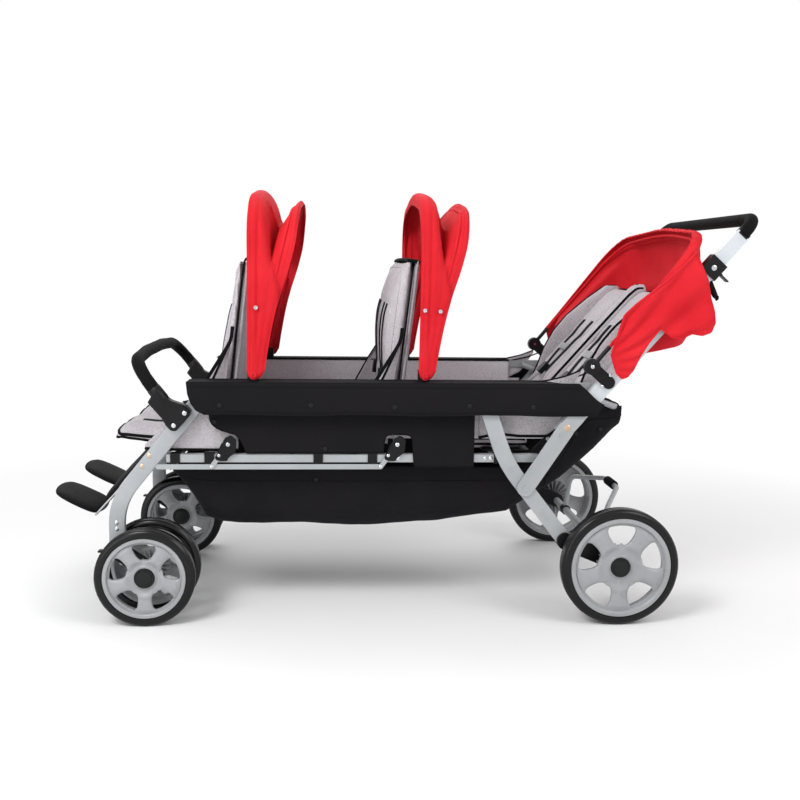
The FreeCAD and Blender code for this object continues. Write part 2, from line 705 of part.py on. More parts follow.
def make_side_frames():
    """Front legs, top rails with their hinge plates, seat rails and cross tubes."""
    leg = flat_tube(
        front_leg_line(-d.frame_y), d.front_leg_bend_radius,
        d.tube_wide, d.tube_thick, d.tube_wall,
    )
    add_node("front_legs", both_sides(leg))
    top_z = d.top_rail_top_z - d.rail_tall / 2
    rails = [
        rail_x("top_rail_%s" % SIDE_NAME[s], s, d.top_rail_front_x, d.top_rail_rear_x, top_z)
        for s in SIDES
    ]
    plates = []
    for x, z, angle in ((d.leg_pivot_x, d.leg_pivot_z, 90), (d.push_x, d.push_z, d.push_angle)):
        low_y = -(d.frame_y + d.tube_thick / 2 + d.layer_gap + d.flat_thick)
        rise = (top_z - z) / math.sin(math.radians(angle))
        top = along(V(x, 0, z), angle, rise)
        solid = strap((x, z), (top.x, top.z), d.rail_tall, low_y, d.flat_thick)
        bore = pin(x, z, low_y - d.overrun, low_y + d.flat_thick + d.overrun,
                   d.pin_radius + d.axle_slack)
        plates += both_sides(solid.cut(bore))
    steel = doc.addObject("Part::Feature", "rail_hinge_plates")
    steel.Shape = Part.makeCompound(plates)
    group("top_rails", rails + [steel])
    group("seat_rails", [
        rail_x("seat_rail_%s" % SIDE_NAME[s], s, d.seat_rail_front_x, d.seat_rail_rear_x,
               d.seat_rail_z)
        for s in SIDES
    ])
    inner = d.frame_y - d.tube_thick / 2 - d.rail_collar_skin - 2 * d.layer_gap
    between_legs = d.frame_y - d.tube_thick / 2 - d.layer_gap
    tubes = [
        tube_y("seat_cross_%d" % i, d.cross_radius, d.cross_wall, inner, x, d.seat_rail_z)
        for i, x in enumerate(cross_places())
    ]
    tubes.append(tube_y("leg_cross", d.cross_radius, d.cross_wall, between_legs,
                        d.leg_cross_x, d.leg_cross_z))
    group("cross_tubes", tubes)


def cross_places():
    """Where the seat's cross tubes and their collars stand."""
    return [d.cross_front_x, d.cross_front_back_x, d.cross_middle_x,
            d.cross_middle_back_x, d.cross_rear_x]


def rows():
    """Front end of the shift from the front row to each upright row."""
    return [("front", 0.0), ("middle", d.row_pitch)]


def make_rail_fittings():
    """Collars round the seat rails, seatback brackets, leg plugs and rear hinge brackets."""
    solids = []
    y = -d.frame_y
    half = d.tube_thick / 2 + d.layer_gap
    skin = d.rail_collar_skin
    outer_y = y - d.tube_thick / 2 - d.layer_gap
    for x in cross_places():
        long = d.collar_long
        tall = 2 * (half + skin)
        ring = Part.makeBox(long, tall, tall, V(x - long / 2, y - tall / 2, d.seat_rail_z - tall / 2))
        hole = Part.makeBox(long + 2 * d.overrun, 2 * half, 2 * half,
                            V(x - long / 2 - d.overrun, y - half, d.seat_rail_z - half))
        solids += both_sides(ring.cut(hole))
    for _, shift in rows():
        x = d.seatback_pivot_x + shift
        z = d.seatback_pivot_z
        rail_top = d.seat_rail_z + d.rail_tall / 2
        corners = [(x - d.bracket_wide * 0.8, rail_top - d.rail_tall * 0.8),
                   (x - d.arm_wide * 0.2, rail_top - d.rail_tall * 0.8),
                   (x + d.arm_wide, z), (x, z + d.arm_wide), (x - d.arm_wide, z)]
        solid = rounded_plate(corners, outer_y - d.flat_thick, d.flat_thick, d.flat_thick)
        bore = pin(x, z, outer_y - d.flat_thick - d.overrun, outer_y + d.overrun,
                   d.seatback_shaft_radius + d.axle_slack)
        solids += both_sides(solid.cut(bore))
    low_y = y + d.tube_thick / 2 + d.layer_gap
    rear = strap((d.seat_rail_rear_x - d.arm_wide, d.seat_rail_z), (d.rear_back_x, d.rear_back_z),
                 d.arm_wide, low_y, d.flat_thick)
    bore = pin(d.rear_back_x, d.rear_back_z, low_y - d.overrun, low_y + d.flat_thick + d.overrun,
               d.seatback_shaft_radius + d.axle_slack)
    solids += both_sides(rear.cut(bore))
    fill_x = d.tube_wide - 2 * (d.tube_wall + d.layer_gap)
    fill_y = d.tube_thick - 2 * (d.tube_wall + d.layer_gap)
    plug = Part.makeBox(fill_x, fill_y, d.stem_long,
                        V(d.caster_x - fill_x / 2, y - fill_y / 2, d.front_leg_bottom_z))
    hole = Part.makeCylinder(d.stem_radius + d.axle_slack, d.stem_long + 2 * d.overrun,
                             V(d.caster_x, y, d.front_leg_bottom_z - d.overrun))
    solids += both_sides(plug.cut(hole))
    add_node("rail_fittings", solids)


def head(x, z, face_y, radius):
    """Rivet or screw head that lies on a face of the left side."""
    low = -face_y - d.layer_gap - d.head_thick
    return pin(x, z, low, low + d.head_thick, radius)


def make_rivets():
    """Hinge bolts of the legs and of the push bar, and the heads that show on the frame."""
    solids = []
    inner = -(d.frame_y + d.tube_thick / 2)
    leg_out = d.fold_y + d.leg_thick
    push_out = d.fold_y + d.tube_thick + d.plate_thick
    for x, z, face in ((d.leg_pivot_x, d.leg_pivot_z, leg_out), (d.push_x, d.push_z, push_out)):
        shaft = pin(x, z, -(face + d.layer_gap), inner, d.pin_radius)
        outer = head(x, z, face, d.head_radius)
        nut = pin(x, z, inner, inner + d.head_thick, d.head_radius)
        solids += both_sides(shaft.fuse([outer, nut]))
    face = d.frame_y + d.tube_thick / 2
    spots = [(d.caster_x, d.front_leg_bottom_z + d.tube_wide * 0.75),
             (d.caster_x, d.front_leg_bottom_z + d.tube_wide * 1.15),
             (d.wire_pivot_x + d.small_head_radius, d.wire_pivot_z),
             (d.leg_cross_x, d.leg_cross_z),
             (d.cross_middle_x + d.collar_long * 2, d.seat_rail_z),
             (d.cross_middle_x + d.collar_long * 2.7, d.seat_rail_z),
             (d.cross_rear_x - d.collar_long * 1.4, d.seat_rail_z),
             (d.cross_rear_x - d.collar_long * 0.8, d.seat_rail_z)]
    for x, z in spots:
        solids += both_sides(head(x, z, face, d.small_head_radius))
    add_node("frame_rivets", solids)


def rear_leg_line(y):
    """Centre line of a rear leg, from above its hinge to its foot."""
    hinge = V(d.leg_pivot_x, y, d.leg_pivot_z)
    knee = V(d.leg_knee_x, y, d.leg_knee_z)
    run = (hinge - knee).normalize()
    return [hinge + run * (d.tube_wide * 0.55), knee, V(d.leg_foot_x, y, d.leg_foot_z)]


def make_rear_legs():
    """Curved rear legs with their lock notch, the axle and its brackets."""
    y = -(d.fold_y + d.leg_thick / 2)
    leg = flat_tube(rear_leg_line(y), d.leg_knee_radius, d.tube_wide, d.leg_thick, d.tube_wall)
    low_y = -(d.fold_y + d.leg_thick) - d.overrun
    reach = d.leg_thick + 2 * d.overrun
    bore = pin(d.leg_pivot_x, d.leg_pivot_z, low_y, low_y + reach, d.pin_radius + d.axle_slack)
    mouth = along(V(d.lock_x, 0, d.lock_z), d.lock_mouth_angle, d.tube_wide * 1.2)
    notch = strap((d.lock_x, d.lock_z), (mouth.x, mouth.z),
                  2 * (d.lock_radius + d.lock_slack), low_y, reach)
    solids = both_sides(leg.cut([bore, notch]))
    face = d.fold_y + d.leg_thick
    shin = V(d.leg_foot_x - d.leg_knee_x, 0, d.leg_foot_z - d.leg_knee_z)
    for share in RIVET_SHARES:
        spot = V(d.leg_knee_x, 0, d.leg_knee_z) + shin * share
        solids += both_sides(head(spot.x, spot.z, face, d.small_head_radius))
    add_node("rear_legs", solids)

    foot = rear_leg_line(y)[-1]
    grown = d.layer_gap * 2
    whole_leg = sweep(
        rounded_path(rear_leg_line(y), d.leg_knee_radius),
        flat_section(rounded_path(rear_leg_line(y), d.leg_knee_radius),
                     d.tube_wide + grown, d.leg_thick + grown),
    )
    outer_y = d.rear_wheel_inner_y - d.rear_boss - d.wheel_side_slack
    bracket = strap((foot.x, foot.z), (d.rear_axle_x, d.rear_wheel_radius), d.bracket_wide,
                    -outer_y, outer_y - d.fold_y)
    bore = pin(d.rear_axle_x, d.rear_wheel_radius, -outer_y - d.overrun,
               -d.fold_y + d.overrun, d.axle_radius + d.axle_slack)
    add_node("axle_brackets", both_sides(bracket.cut([whole_leg, bore])))

    rod_end = d.rear_wheel_inner_y + d.rear_wheel_wide - d.hub_cap_deep - d.layer_gap
    rod = cylinder_y("axle_rod", d.axle_radius, -rod_end, rod_end, d.rear_axle_x,
                     d.rear_wheel_radius)
    wall = d.axle_tube_radius - d.axle_radius - d.layer_gap
    sleeve = tube_y("axle_sleeve", d.axle_tube_radius, wall, d.fold_y - d.layer_gap,
                    d.rear_axle_x, d.rear_wheel_radius)
    group("rear_axle", [rod, sleeve])


# Rivets of a rear leg, as shares of the run from its knee to its foot
RIVET_SHARES = (0.08, 0.62, 0.70)


def make_brake():
    """Brake bar that turns on the axle sleeve, with its rubber tread."""
    axle = V(d.rear_axle_x, 0, d.rear_wheel_radius)
    solids = []
    arm_y = d.brake_arm_y
    knee = V(d.brake_knee_x, 0, d.brake_knee_z)
    run = (knee - axle).normalize()
    root = axle + run * (d.axle_tube_radius + d.collar_skin / 2)
    points = [root + V(0, -arm_y, 0), knee + V(0, -arm_y, 0),
              V(d.brake_out_x, -d.brake_cross_y, d.brake_out_z),
              V(d.brake_out_x, d.brake_cross_y, d.brake_out_z),
              knee + V(0, arm_y, 0), root + V(0, arm_y, 0)]
    bar = round_bar(points, d.brake_tube_radius, d.brake_bend_radius)
    sleeves = []
    for side in SIDES:
        low = side * arm_y - d.collar_wide / 2
        sleeves.append(pin(axle.x, axle.z, low, low + d.collar_wide,
                           d.axle_tube_radius + d.collar_skin))
    shape = bar.fuse(sleeves)
    reach = arm_y + d.collar_wide
    shape = shape.cut(pin(axle.x, axle.z, -reach, reach, d.axle_tube_radius + d.axle_slack))
    tread = pin(d.brake_out_x, d.brake_out_z, -d.brake_pad_long / 2, d.brake_pad_long / 2,
                d.brake_pad_radius)
    bore = pin(d.brake_out_x, d.brake_out_z, -d.brake_pad_long, d.brake_pad_long,
               d.brake_tube_radius + d.axle_slack)
    solids = [shape, tread.cut(bore)]
    add_node("brake_bar", solids)


def push_point(distance, offset=0.0):
    """Point on the push bar: distance above its hinge, offset towards the front."""
    base = along(V(d.push_x, 0, d.push_z), d.push_angle, distance)
    return along(base, d.push_angle + 90, offset)


def bar_piece(start, end, wide, low_y, high_y, offset=0.0):
    """Rectangular block that follows the push bar's slope on the left side."""
    corners = [push_point(start, offset - wide / 2), push_point(end, offset - wide / 2),
               push_point(end, offset + wide / 2), push_point(start, offset + wide / 2)]
    return plate([(c.x, c.z) for c in corners], -high_y, high_y - low_y)


def make_push_bar():
    """Push tubes, lock plates, handle clamps and the telescopic handle."""
    low_y, high_y = d.fold_y, d.fold_y + d.tube_thick
    wall = d.tube_wall
    outer = bar_piece(-d.push_tail, d.push_tube_long, d.tube_wide, low_y, high_y)
    inner = bar_piece(-d.push_tail - d.overrun, d.push_tube_long + d.overrun,
                      d.tube_wide - 2 * wall, low_y + wall, high_y - wall)
    bore_y = high_y + d.plate_thick + d.overrun
    bore = pin(d.push_x, d.push_z, -bore_y, -low_y + d.overrun, d.pin_radius + d.axle_slack)
    add_node("push_tubes", both_sides(outer.cut([inner, bore])))

    knee = push_point(-d.push_tail * 0.3)
    top = push_point(d.push_tube_long * 0.07)
    lower = strap((d.lock_x, d.lock_z), (knee.x, knee.z), d.plate_wide, -high_y - d.plate_thick,
                  d.plate_thick)
    upper = strap((knee.x, knee.z), (top.x, top.z), d.tube_wide, -high_y - d.plate_thick,
                  d.plate_thick)
    hook = pin(d.lock_x, d.lock_z, -high_y, -(d.fold_y + d.tube_wall), d.lock_radius)
    solids = both_sides(lower.fuse([upper, hook]).cut(bore))
    face = high_y + d.plate_thick
    solids += both_sides(head(d.lock_x, d.lock_z, face, d.head_radius))
    rivet = push_point(-d.push_tail * 1.1)
    solids += both_sides(head(rivet.x, rivet.z, face, d.small_head_radius))
    add_node("fold_plates", solids)

    start = d.push_tube_long - d.clamp_long / 2
    end = start + d.clamp_long
    gap = d.layer_gap
    shell = bar_piece(start, end, d.tube_wide + 2 * d.clamp_skin, low_y - d.clamp_skin,
                      high_y + d.clamp_skin)
    hollow = bar_piece(start - d.overrun, end + d.overrun, d.tube_wide + 2 * gap,
                       low_y - gap, high_y + gap)
    add_node("handle_clamps", both_sides(shell.cut(hollow)))

    middle_y = d.fold_y + d.tube_thick / 2
    half = d.handle_thick / 2
    tip = end + d.handle_out
    arm = bar_piece(end - d.handle_hidden, tip, d.handle_wide, middle_y - half, middle_y + half)
    core = bar_piece(end - d.handle_hidden - d.overrun, tip + d.overrun,
                     d.handle_wide - 2 * wall, middle_y - half + wall, middle_y + half - wall)
    add_node("handle_bar", both_sides(arm.cut(core)))
    foot = push_point(tip + gap)
    corner = push_point(tip + d.grip_reach)
    grip = round_bar([V(foot.x, -middle_y, foot.z), V(corner.x, -middle_y, corner.z),
                      V(corner.x, middle_y, corner.z), V(foot.x, middle_y, foot.z)],
                     d.grip_radius, d.grip_bend_radius)
    add_node("handle_grip", [grip])

    for side in SIDES:
        hinge = push_point(d.push_tube_long, -(d.tube_wide / 2 + d.clamp_skin + d.lever_thick))
        tip_point = along(hinge, d.push_angle - 90, d.lever_long)
        lever = strap((hinge.x, hinge.z), (tip_point.x, tip_point.z), d.lever_thick,
                      side * middle_y - d.lever_wide / 2, d.lever_wide)
        knuckle = pin(hinge.x, hinge.z, side * middle_y - d.lever_wide / 2,
                      side * middle_y + d.lever_wide / 2, d.lever_thick - d.layer_gap)
        add_node("clamp_lever_" + SIDE_NAME[side], [lever.fuse(knuckle)])

    face = high_y + d.layer_gap
    run = V(d.knob_x - d.push_x, 0, d.knob_z - d.push_z)
    spot = push_point(run * unit(d.push_angle))
    arm = strap((spot.x, spot.z), (d.knob_x, d.knob_z), d.knob_radius * 1.6, -face - d.flat_thick,
                d.flat_thick)
    knob = pin(d.knob_x, d.knob_z, -face - d.knob_thick, -face, d.knob_radius)
    bore = pin(d.knob_x, d.knob_z, -face - d.knob_thick - d.overrun, -face + d.overrun,
               d.link_pin_radius + d.axle_slack)
    add_node("rear_canopy_brackets", both_sides(arm.fuse(knob).cut(bore)))


# Stations of a cushion across the stroller: place, length kept, crown kept
CUSHION_SHARES = (
    (-1.00, 0.93, 0.52), (-0.95, 0.985, 0.84), (-0.50, 1.00, 1.00), (0.00, 0.99, 0.84),
    (0.50, 1.00, 1.00), (0.95, 0.985, 0.84), (1.00, 0.93, 0.52),
)


def cushion(origin, angle, long, tall, half_wide):
    """Crowned cushion for two, drawn in at its sides and along its middle seam."""
    u = unit(angle)
    v = unit(angle + 90)
    edge = tall * 0.35
    wires = []
    for place, keep_long, keep_tall in CUSHION_SHARES:
        def at(a, b):
            a = long / 2 + (a - long / 2) * keep_long
            return origin + u * a + v * (b * keep_tall) + V(0, place * half_wide, 0)

        low_front, low_rear = at(edge, 0), at(long - edge, 0)
        high_rear, high_front = at(long - edge, tall * 0.88), at(edge, tall * 0.88)
        wires.append(Part.Wire([
            Part.LineSegment(low_front, low_rear).toShape(),
            Part.Arc(low_rear, at(long, tall * 0.42), high_rear).toShape(),
            Part.Arc(high_rear, at(long / 2, tall), high_front).toShape(),
            Part.Arc(high_front, at(0, tall * 0.42), low_front).toShape(),
        ]))
    return Part.makeLoft(wires, True, False)


def board_top():
    """Height of the seat boards' upper faces."""
    return d.seat_rail_z + d.cross_radius + d.layer_gap + d.board_thick


def make_seats():
    """Seat boards and cushions, the two upright seatbacks and the rear backrest."""
    seats = [("front", d.front_seat_x, d.seat_deep), ("middle", d.middle_seat_x, d.seat_deep),
             ("rear", d.rear_seat_x, d.rear_seat_deep)]
    boards = []
    for name, x, deep in seats:
        half = d.seat_half_wide
        top = board_top()
        boards.append(block(name + "_board", (x + d.board_set, -half, top - d.board_thick),
                            (x + deep, half, top)))
        pad = cushion(V(x, 0, top + d.layer_gap), 0, deep, d.seat_tall, half)
        add_node(name + "_seat_cushion", [pad])
    group("seat_boards", boards)

    lean = 90 - d.seatback_lean
    outer_y = d.frame_y + d.tube_thick / 2 + 2 * d.layer_gap + 2 * d.flat_thick
    for name, shift in rows():
        hinge = V(d.seatback_pivot_x + shift, 0, d.seatback_pivot_z)
        base = along(along(hinge, lean, d.seatback_thick / 2), lean - 90, d.arm_wide / 2)
        pad = cushion(base, lean, d.seatback_tall, d.seatback_thick, d.seat_half_wide)
        arm = strap((hinge.x, hinge.z), (hinge.x + d.arm_drop_x, hinge.z + d.arm_drop_z),
                    d.arm_wide, -outer_y, d.flat_thick)
        shaft = pin(hinge.x, hinge.z, -outer_y, -d.seat_half_wide - d.layer_gap,
                    d.seatback_shaft_radius)
        lug_y = d.seat_half_wide + d.layer_gap
        lug_top = along(hinge, lean, d.seatback_thick * 1.6)
        lug = strap((hinge.x, hinge.z), (lug_top.x, lug_top.z), d.arm_wide,
                    -lug_y - d.flat_thick, d.flat_thick)
        joint = pin(hinge.x + d.arm_drop_x, hinge.z + d.arm_drop_z, -outer_y + d.flat_thick,
                    -outer_y + 2 * d.flat_thick + d.layer_gap, d.link_pin_radius)
        add_node(name + "_seatback", [pad] + both_sides(arm.fuse([shaft, lug, joint])))

    hinge = V(d.rear_back_x, 0, d.rear_back_z)
    base = along(along(hinge, d.push_angle, d.seatback_shaft_radius * 3), d.push_angle - 90,
                 d.rear_back_thick / 2)
    pad = cushion(base, d.push_angle, d.rear_back_long, d.rear_back_thick, d.seat_half_wide)
    add_node("rear_seatback", [pad])
    drop = -(d.rear_back_thick / 2 + d.back_hoop_radius + d.layer_gap)
    low = along(hinge, d.push_angle + 90, drop)
    high = along(low, d.push_angle, d.back_hoop_long)
    half = V(0, d.back_hoop_half_wide, 0)
    hoop = round_bar([hinge - half, low - half, high - half, high + half, low + half,
                      hinge + half], d.back_hoop_radius, d.back_hoop_bend)
    reach = d.frame_y - d.tube_thick / 2 - d.layer_gap
    shaft = pin(hinge.x, hinge.z, -reach, reach, d.seatback_shaft_radius)
    add_node("back_hoop", [hoop.fuse(shaft)])


def make_links():
    """Flat bars that tie the two upright seatbacks together."""
    outer_y = d.frame_y + d.tube_thick / 2 + d.layer_gap + d.flat_thick
    front = (d.seatback_pivot_x + d.arm_drop_x, d.seatback_pivot_z + d.arm_drop_z)
    rear = (front[0] + d.row_pitch, front[1])
    low_y = -outer_y
    bar = strap((d.link_front_x, front[1]), rear, d.link_tall, low_y, d.flat_thick)
    high_y = low_y + d.flat_thick + d.overrun
    hinge = pin(front[0], front[1], low_y - d.overrun, high_y, d.link_pin_radius + d.axle_slack)
    hole = pin(rear[0], rear[1], low_y - d.overrun, high_y, d.link_pin_radius + d.link_slack)
    add_node("link_bars", both_sides(bar.cut([hinge, hole])))


def make_grab_bar():
    """Padded grab bar in front of the first row, with its two mounts."""
    y = d.grab_half_wide
    foot = (d.grab_foot_x, d.grab_foot_z)
    top = (d.grab_top_x, d.grab_top_z)
    low_y = -(d.frame_y + d.tube_thick / 2 + d.layer_gap + d.mount_thick)
    low = (d.mount_low_x, d.mount_low_z)
    high = (d.mount_high_x, d.mount_high_z)
    mount = strap(low, high, d.mount_wide, low_y, d.mount_thick)
    gap = d.layer_gap
    room = strap(low, high, d.mount_wide + 2 * gap, low_y - d.overrun,
                 d.mount_thick + 2 * d.overrun)
    bar = round_bar([V(foot[0], -y, foot[1]), V(top[0], -y, top[1]),
                     V(top[0], y, top[1]), V(foot[0], y, foot[1])],
                    d.grab_radius, d.grab_bend_radius)
    add_node("grab_bar", [bar.cut(both_sides(room))])
    add_node("grab_bar_mounts", both_sides(mount))


def make_side_cloth():
    """Black bands over the top rails with their grey linings, and the seat side panels."""
    cover_low = d.top_rail_top_z + d.layer_gap
    top = cover_low + d.cloth
    outer_y = d.band_y + d.cloth
    inner_y = d.frame_y - d.tube_thick / 2 - d.cloth * 2
    outline = [(d.band_front_x, top), (d.band_rear_x, top), (d.band_tip_x, d.band_tip_z),
               (d.band_low_x, d.band_low_z), (d.band_front_low_x, d.band_low_z)]
    band = plate(outline, -outer_y, d.cloth)
    long = d.band_cover_x - d.top_rail_front_x
    cover = Part.makeBox(long, outer_y - inner_y, d.cloth,
                         V(d.top_rail_front_x, -outer_y, cover_low))
    lining = Part.makeBox(long, d.cloth, top - d.lining_low_z,
                          V(d.top_rail_front_x, -inner_y - d.cloth, d.lining_low_z))
    add_node("side_bands", both_sides(band.fuse([cover, lining])))

    high = d.top_rail_top_z
    outline = [(d.panel_front_x, high), (d.panel_rear_x, high),
               (d.panel_rear_x, d.panel_drop_z), (d.panel_drop_x, d.panel_drop_z),
               (d.arch_rear_x, d.panel_low_z), (d.arch_rear_x, d.arch_top_z),
               (d.arch_front_x, d.arch_top_z), (d.arch_front_x, d.panel_low_z),
               (d.panel_front_x, d.panel_low_z)]
    low_y = -(d.fold_y - d.cloth * 0.6 - d.cloth)
    add_node("side_panels", both_sides(plate(outline, low_y, d.cloth)))


def inset(points, distances):
    """Outline whose every edge is moved inwards by its own distance."""
    count = len(points)
    lines = []
    for i, distance in enumerate(distances):
        a = V(points[i][0], points[i][1], 0)
        b = V(points[(i + 1) % count][0], points[(i + 1) % count][1], 0)
        run = (b - a).normalize()
        lines.append((a + V(-run.y, run.x, 0) * distance, run))
    corners = []
    for i in range(count):
        (a, u), (b, w) = lines[i - 1], lines[i]
        turn = u.x * w.y - u.y * w.x
        reach = ((b.x - a.x) * w.y - (b.y - a.y) * w.x) / turn
        corner = a + u * reach
        corners.append((corner.x, corner.y))
    return corners


def make_basket():
    """Cloth storage basket under the seats, open on top, with its tube hoop."""
    rear_x = d.hoop_rear_x + d.hoop_radius + d.cloth
    outline = [(d.basket_front_x, d.basket_top_z), (d.basket_low_front_x, d.basket_low_z),
               ((d.basket_low_front_x + d.basket_low_rear_x) / 2, d.basket_low_z - d.basket_sag),
               (d.basket_low_rear_x, d.basket_low_z + d.basket_sag),
               (rear_x, d.hoop_rear_z - d.basket_tuck), (rear_x, d.hoop_rear_z),
               (d.basket_mouth_x, d.hoop_rear_z), (d.basket_seat_x, d.basket_top_z)]
    wall, open_top = d.cloth, -d.overrun
    inner = inset(outline, [wall, wall, wall, wall, wall, open_top, open_top, open_top])
    half = d.basket_half_wide
    shell = plate(outline, -half, 2 * half).cut(plate(inner, wall - half, 2 * (half - wall)))
    grown = d.hoop_radius + d.layer_gap
    hem = pin(d.hoop_rear_x, d.hoop_rear_z, -half + d.hoop_bend_radius,
              half - d.hoop_bend_radius, grown + wall)
    y = d.hoop_half_wide
    line = [V(d.hoop_front_x, -y, d.hoop_front_z), V(d.hoop_rear_x, -y, d.hoop_rear_z),
            V(d.hoop_rear_x, y, d.hoop_rear_z), V(d.hoop_front_x, y, d.hoop_front_z)]
    room = round_bar(line, grown, d.hoop_bend_radius)
    add_node("storage_basket", [shell.fuse(hem).cut(room)])
    hoop = round_tube(line, d.hoop_radius, d.hoop_bend_radius, d.cross_wall)
    add_node("basket_hoop", [hoop])


# How much of half a bow's top its crown arc takes up
CROWN_SHARE = 0.45


def bow_line(pivot, lean, half, tall, foot, corner, backwards=False):
    """Line of a bow in its leaning plane: up one side, over a low crown and down the other."""
    slope = d.bow_crown / d.canopy_half_wide
    shoulder = tall - half * slope
    up = unit(90 - lean)
    flat = [(-half, foot), (-half, shoulder), (0, tall), (half, shoulder), (half, foot)]
    points = [pivot + up * z + V(0, y, 0) for y, z in flat]
    if backwards:
        points.reverse()
    return rounded_path(points, [corner, half * CROWN_SHARE / slope, corner])


def bow(pivot, lean, half, tall):
    """Round canopy bow with an eye at each end."""
    path = bow_line(pivot, lean, half, tall, d.bow_eye_radius / 2, d.bow_corner)
    rod = sweep(path, round_section(path, d.bow_radius))
    eyes = [pin(pivot.x, pivot.z, side * half - d.bow_radius, side * half + d.bow_radius,
                d.bow_eye_radius) for side in SIDES]
    return rod.fuse(eyes)


def cloth_rim(pivot, lean, half, tall, foot):
    """Closed thin outline of cloth that lies outside a bow line."""
    corner = d.bow_corner + d.bow_radius
    outer = bow_line(pivot, lean, half + d.cloth, tall + d.cloth, foot, corner + d.cloth)
    inner = bow_line(pivot, lean, half, tall, foot, corner, backwards=True)
    ends = [outer.Edges[0].Vertexes[0].Point, outer.Edges[-1].Vertexes[-1].Point,
            inner.Edges[0].Vertexes[0].Point, inner.Edges[-1].Vertexes[-1].Point]
    join = Part.LineSegment(ends[1], ends[2]).toShape()
    back = Part.LineSegment(ends[3], ends[0]).toShape()
    return list(outer.Edges) + [join] + list(inner.Edges) + [back]


def cloth_ribbon(rims):
    """Thin solid of cloth stretched from rim to rim."""
    faces = []
    for first, second in zip(rims, rims[1:]):
        for a, b in zip(first, second):
            faces.append(Part.makeRuledSurface(a, b))
    for rim in (rims[0], rims[-1]):
        faces.append(Part.Face(Part.Wire(rim)))
    shell = Part.makeShell(faces)
    shell.sewShape()
    solid = Part.makeSolid(shell)
    if solid.Volume < 0:
        solid.reverse()
    return solid


def make_canopies():
    """Upright canopies of the front and middle rows: brackets, bows and cloth."""
    blocks = []
    reach = d.bow_radius + d.layer_gap
    block_y = d.canopy_rear_half_wide - reach
    pin_y = d.canopy_half_wide + d.bow_radius + d.layer_gap
    low_z = d.top_rail_top_z + 2 * d.layer_gap + d.cloth
    for name, shift in rows():
        pivot = V(d.canopy_pivot_x + shift, 0, d.canopy_pivot_z)
        tall = d.canopy_pivot_z + d.canopy_block_over - low_z
        foot = Part.makeBox(d.canopy_block_long, block_y - d.frame_y, tall,
                            V(pivot.x - d.canopy_block_long / 2, -block_y, low_z))
        blocks += both_sides(foot.fuse(pin(pivot.x, pivot.z, -pin_y, -d.frame_y - d.bow_radius,
                                           d.canopy_pin_radius)))
        bore = pin(pivot.x, pivot.z, -pin_y - d.overrun, pin_y + d.overrun,
                   d.canopy_pin_radius + d.axle_slack)
        front = bow(pivot, d.canopy_front_lean, d.canopy_half_wide, d.canopy_tall)
        rear = bow(pivot, d.canopy_rear_lean, d.canopy_rear_half_wide, d.canopy_rear_tall)
        add_node(name + "_canopy_front_bow", [front.cut(bore)])
        add_node(name + "_canopy_rear_bow", [rear.cut(bore)])
        lip = d.canopy_lip
        wide = d.canopy_half_wide + reach
        narrow = d.canopy_rear_half_wide + reach
        rims = [cloth_rim(pivot, lean, half, high, d.canopy_foot) for lean, half, high in (
            (d.canopy_front_lean - lip, wide, d.canopy_tall + reach),
            (d.canopy_front_lean + lip, wide, d.canopy_tall + reach),
            (d.canopy_fold_lean, wide, d.canopy_fold_tall),
            (d.canopy_rear_lean - lip, narrow, d.canopy_rear_tall + reach),
            (d.canopy_rear_lean + lip, narrow, d.canopy_rear_tall + reach),
        )]
        add_node(name + "_canopy", [cloth_ribbon(rims)])
    add_node("canopy_brackets", blocks)


# Bag of folded cloth: angle above the horizontal as a share of its start, and reach as a share
BAG_SHARES = ((1.00, 1.00), (0.82, 0.88), (0.64, 0.79), (0.43, 0.76), (0.26, 0.66))

# Hanging side flap as shares of the bow's length, from the pivot: back and up
FLAP_SHARES = (
    (0.090, 0.090), (0.120, -0.007), (0.166, -0.066), (0.215, -0.033), (0.290, 0.069),
    (0.478, 0.142), (0.550, 0.190), (0.640, 0.184), (0.680, 0.228), (0.680, 0.290),
    (0.648, 0.372), (0.600, 0.450), (0.500, 0.500),
)


def make_rear_canopy():
    """Rear canopy folded back behind the push bar: bow, hood strip, cloth bag and flaps."""
    pivot = V(d.knob_x, 0, d.knob_z)
    half = d.rear_canopy_half_wide
    hoop = bow(pivot, d.rear_canopy_lean, half, d.rear_canopy_tall)
    inner_y = d.fold_y + d.tube_thick + d.layer_gap
    stubs = [pin(pivot.x, pivot.z, min(side * inner_y, side * half),
                 max(side * inner_y, side * half), d.link_pin_radius) for side in SIDES]
    add_node("rear_canopy_bow", [hoop.fuse(stubs)])

    reach = d.bow_radius + d.layer_gap
    lip = d.canopy_lip / 2
    edge = d.rear_canopy_lean + d.rear_lip
    hood = cloth_ribbon([
        cloth_rim(pivot, lean, half + reach, d.rear_canopy_tall + reach, d.canopy_foot)
        for lean in (d.rear_canopy_lean - lip, edge)
    ])
    start = 90 - edge - gap_angle()
    long = d.rear_canopy_tall + reach
    bag = cloth_ribbon([
        cloth_rim(pivot, 90 - start * turn, d.lobe_half_wide - d.cloth, long * keep,
                  long * BAG_FOOT_SHARE)
        for turn, keep in BAG_SHARES
    ])
    outline = [(pivot.x + a, pivot.z + b)
               for a, b in shares(FLAP_SHARES, d.rear_canopy_tall, d.rear_canopy_tall)]
    flap = plate(outline, -(half + reach + d.cloth), d.cloth)
    strip = hood_side(pivot, half + reach)
    add_node("rear_canopy", [hood, bag] + both_sides(flap.cut(strip)))


# Where the side walls of the cloth bag start, as a share of the bow's length
BAG_FOOT_SHARE = 0.27


def gap_angle():
    """Angle, in degrees, that leaves the layer gap at the end of the rear canopy bow."""
    return math.degrees(d.layer_gap / d.rear_canopy_tall)


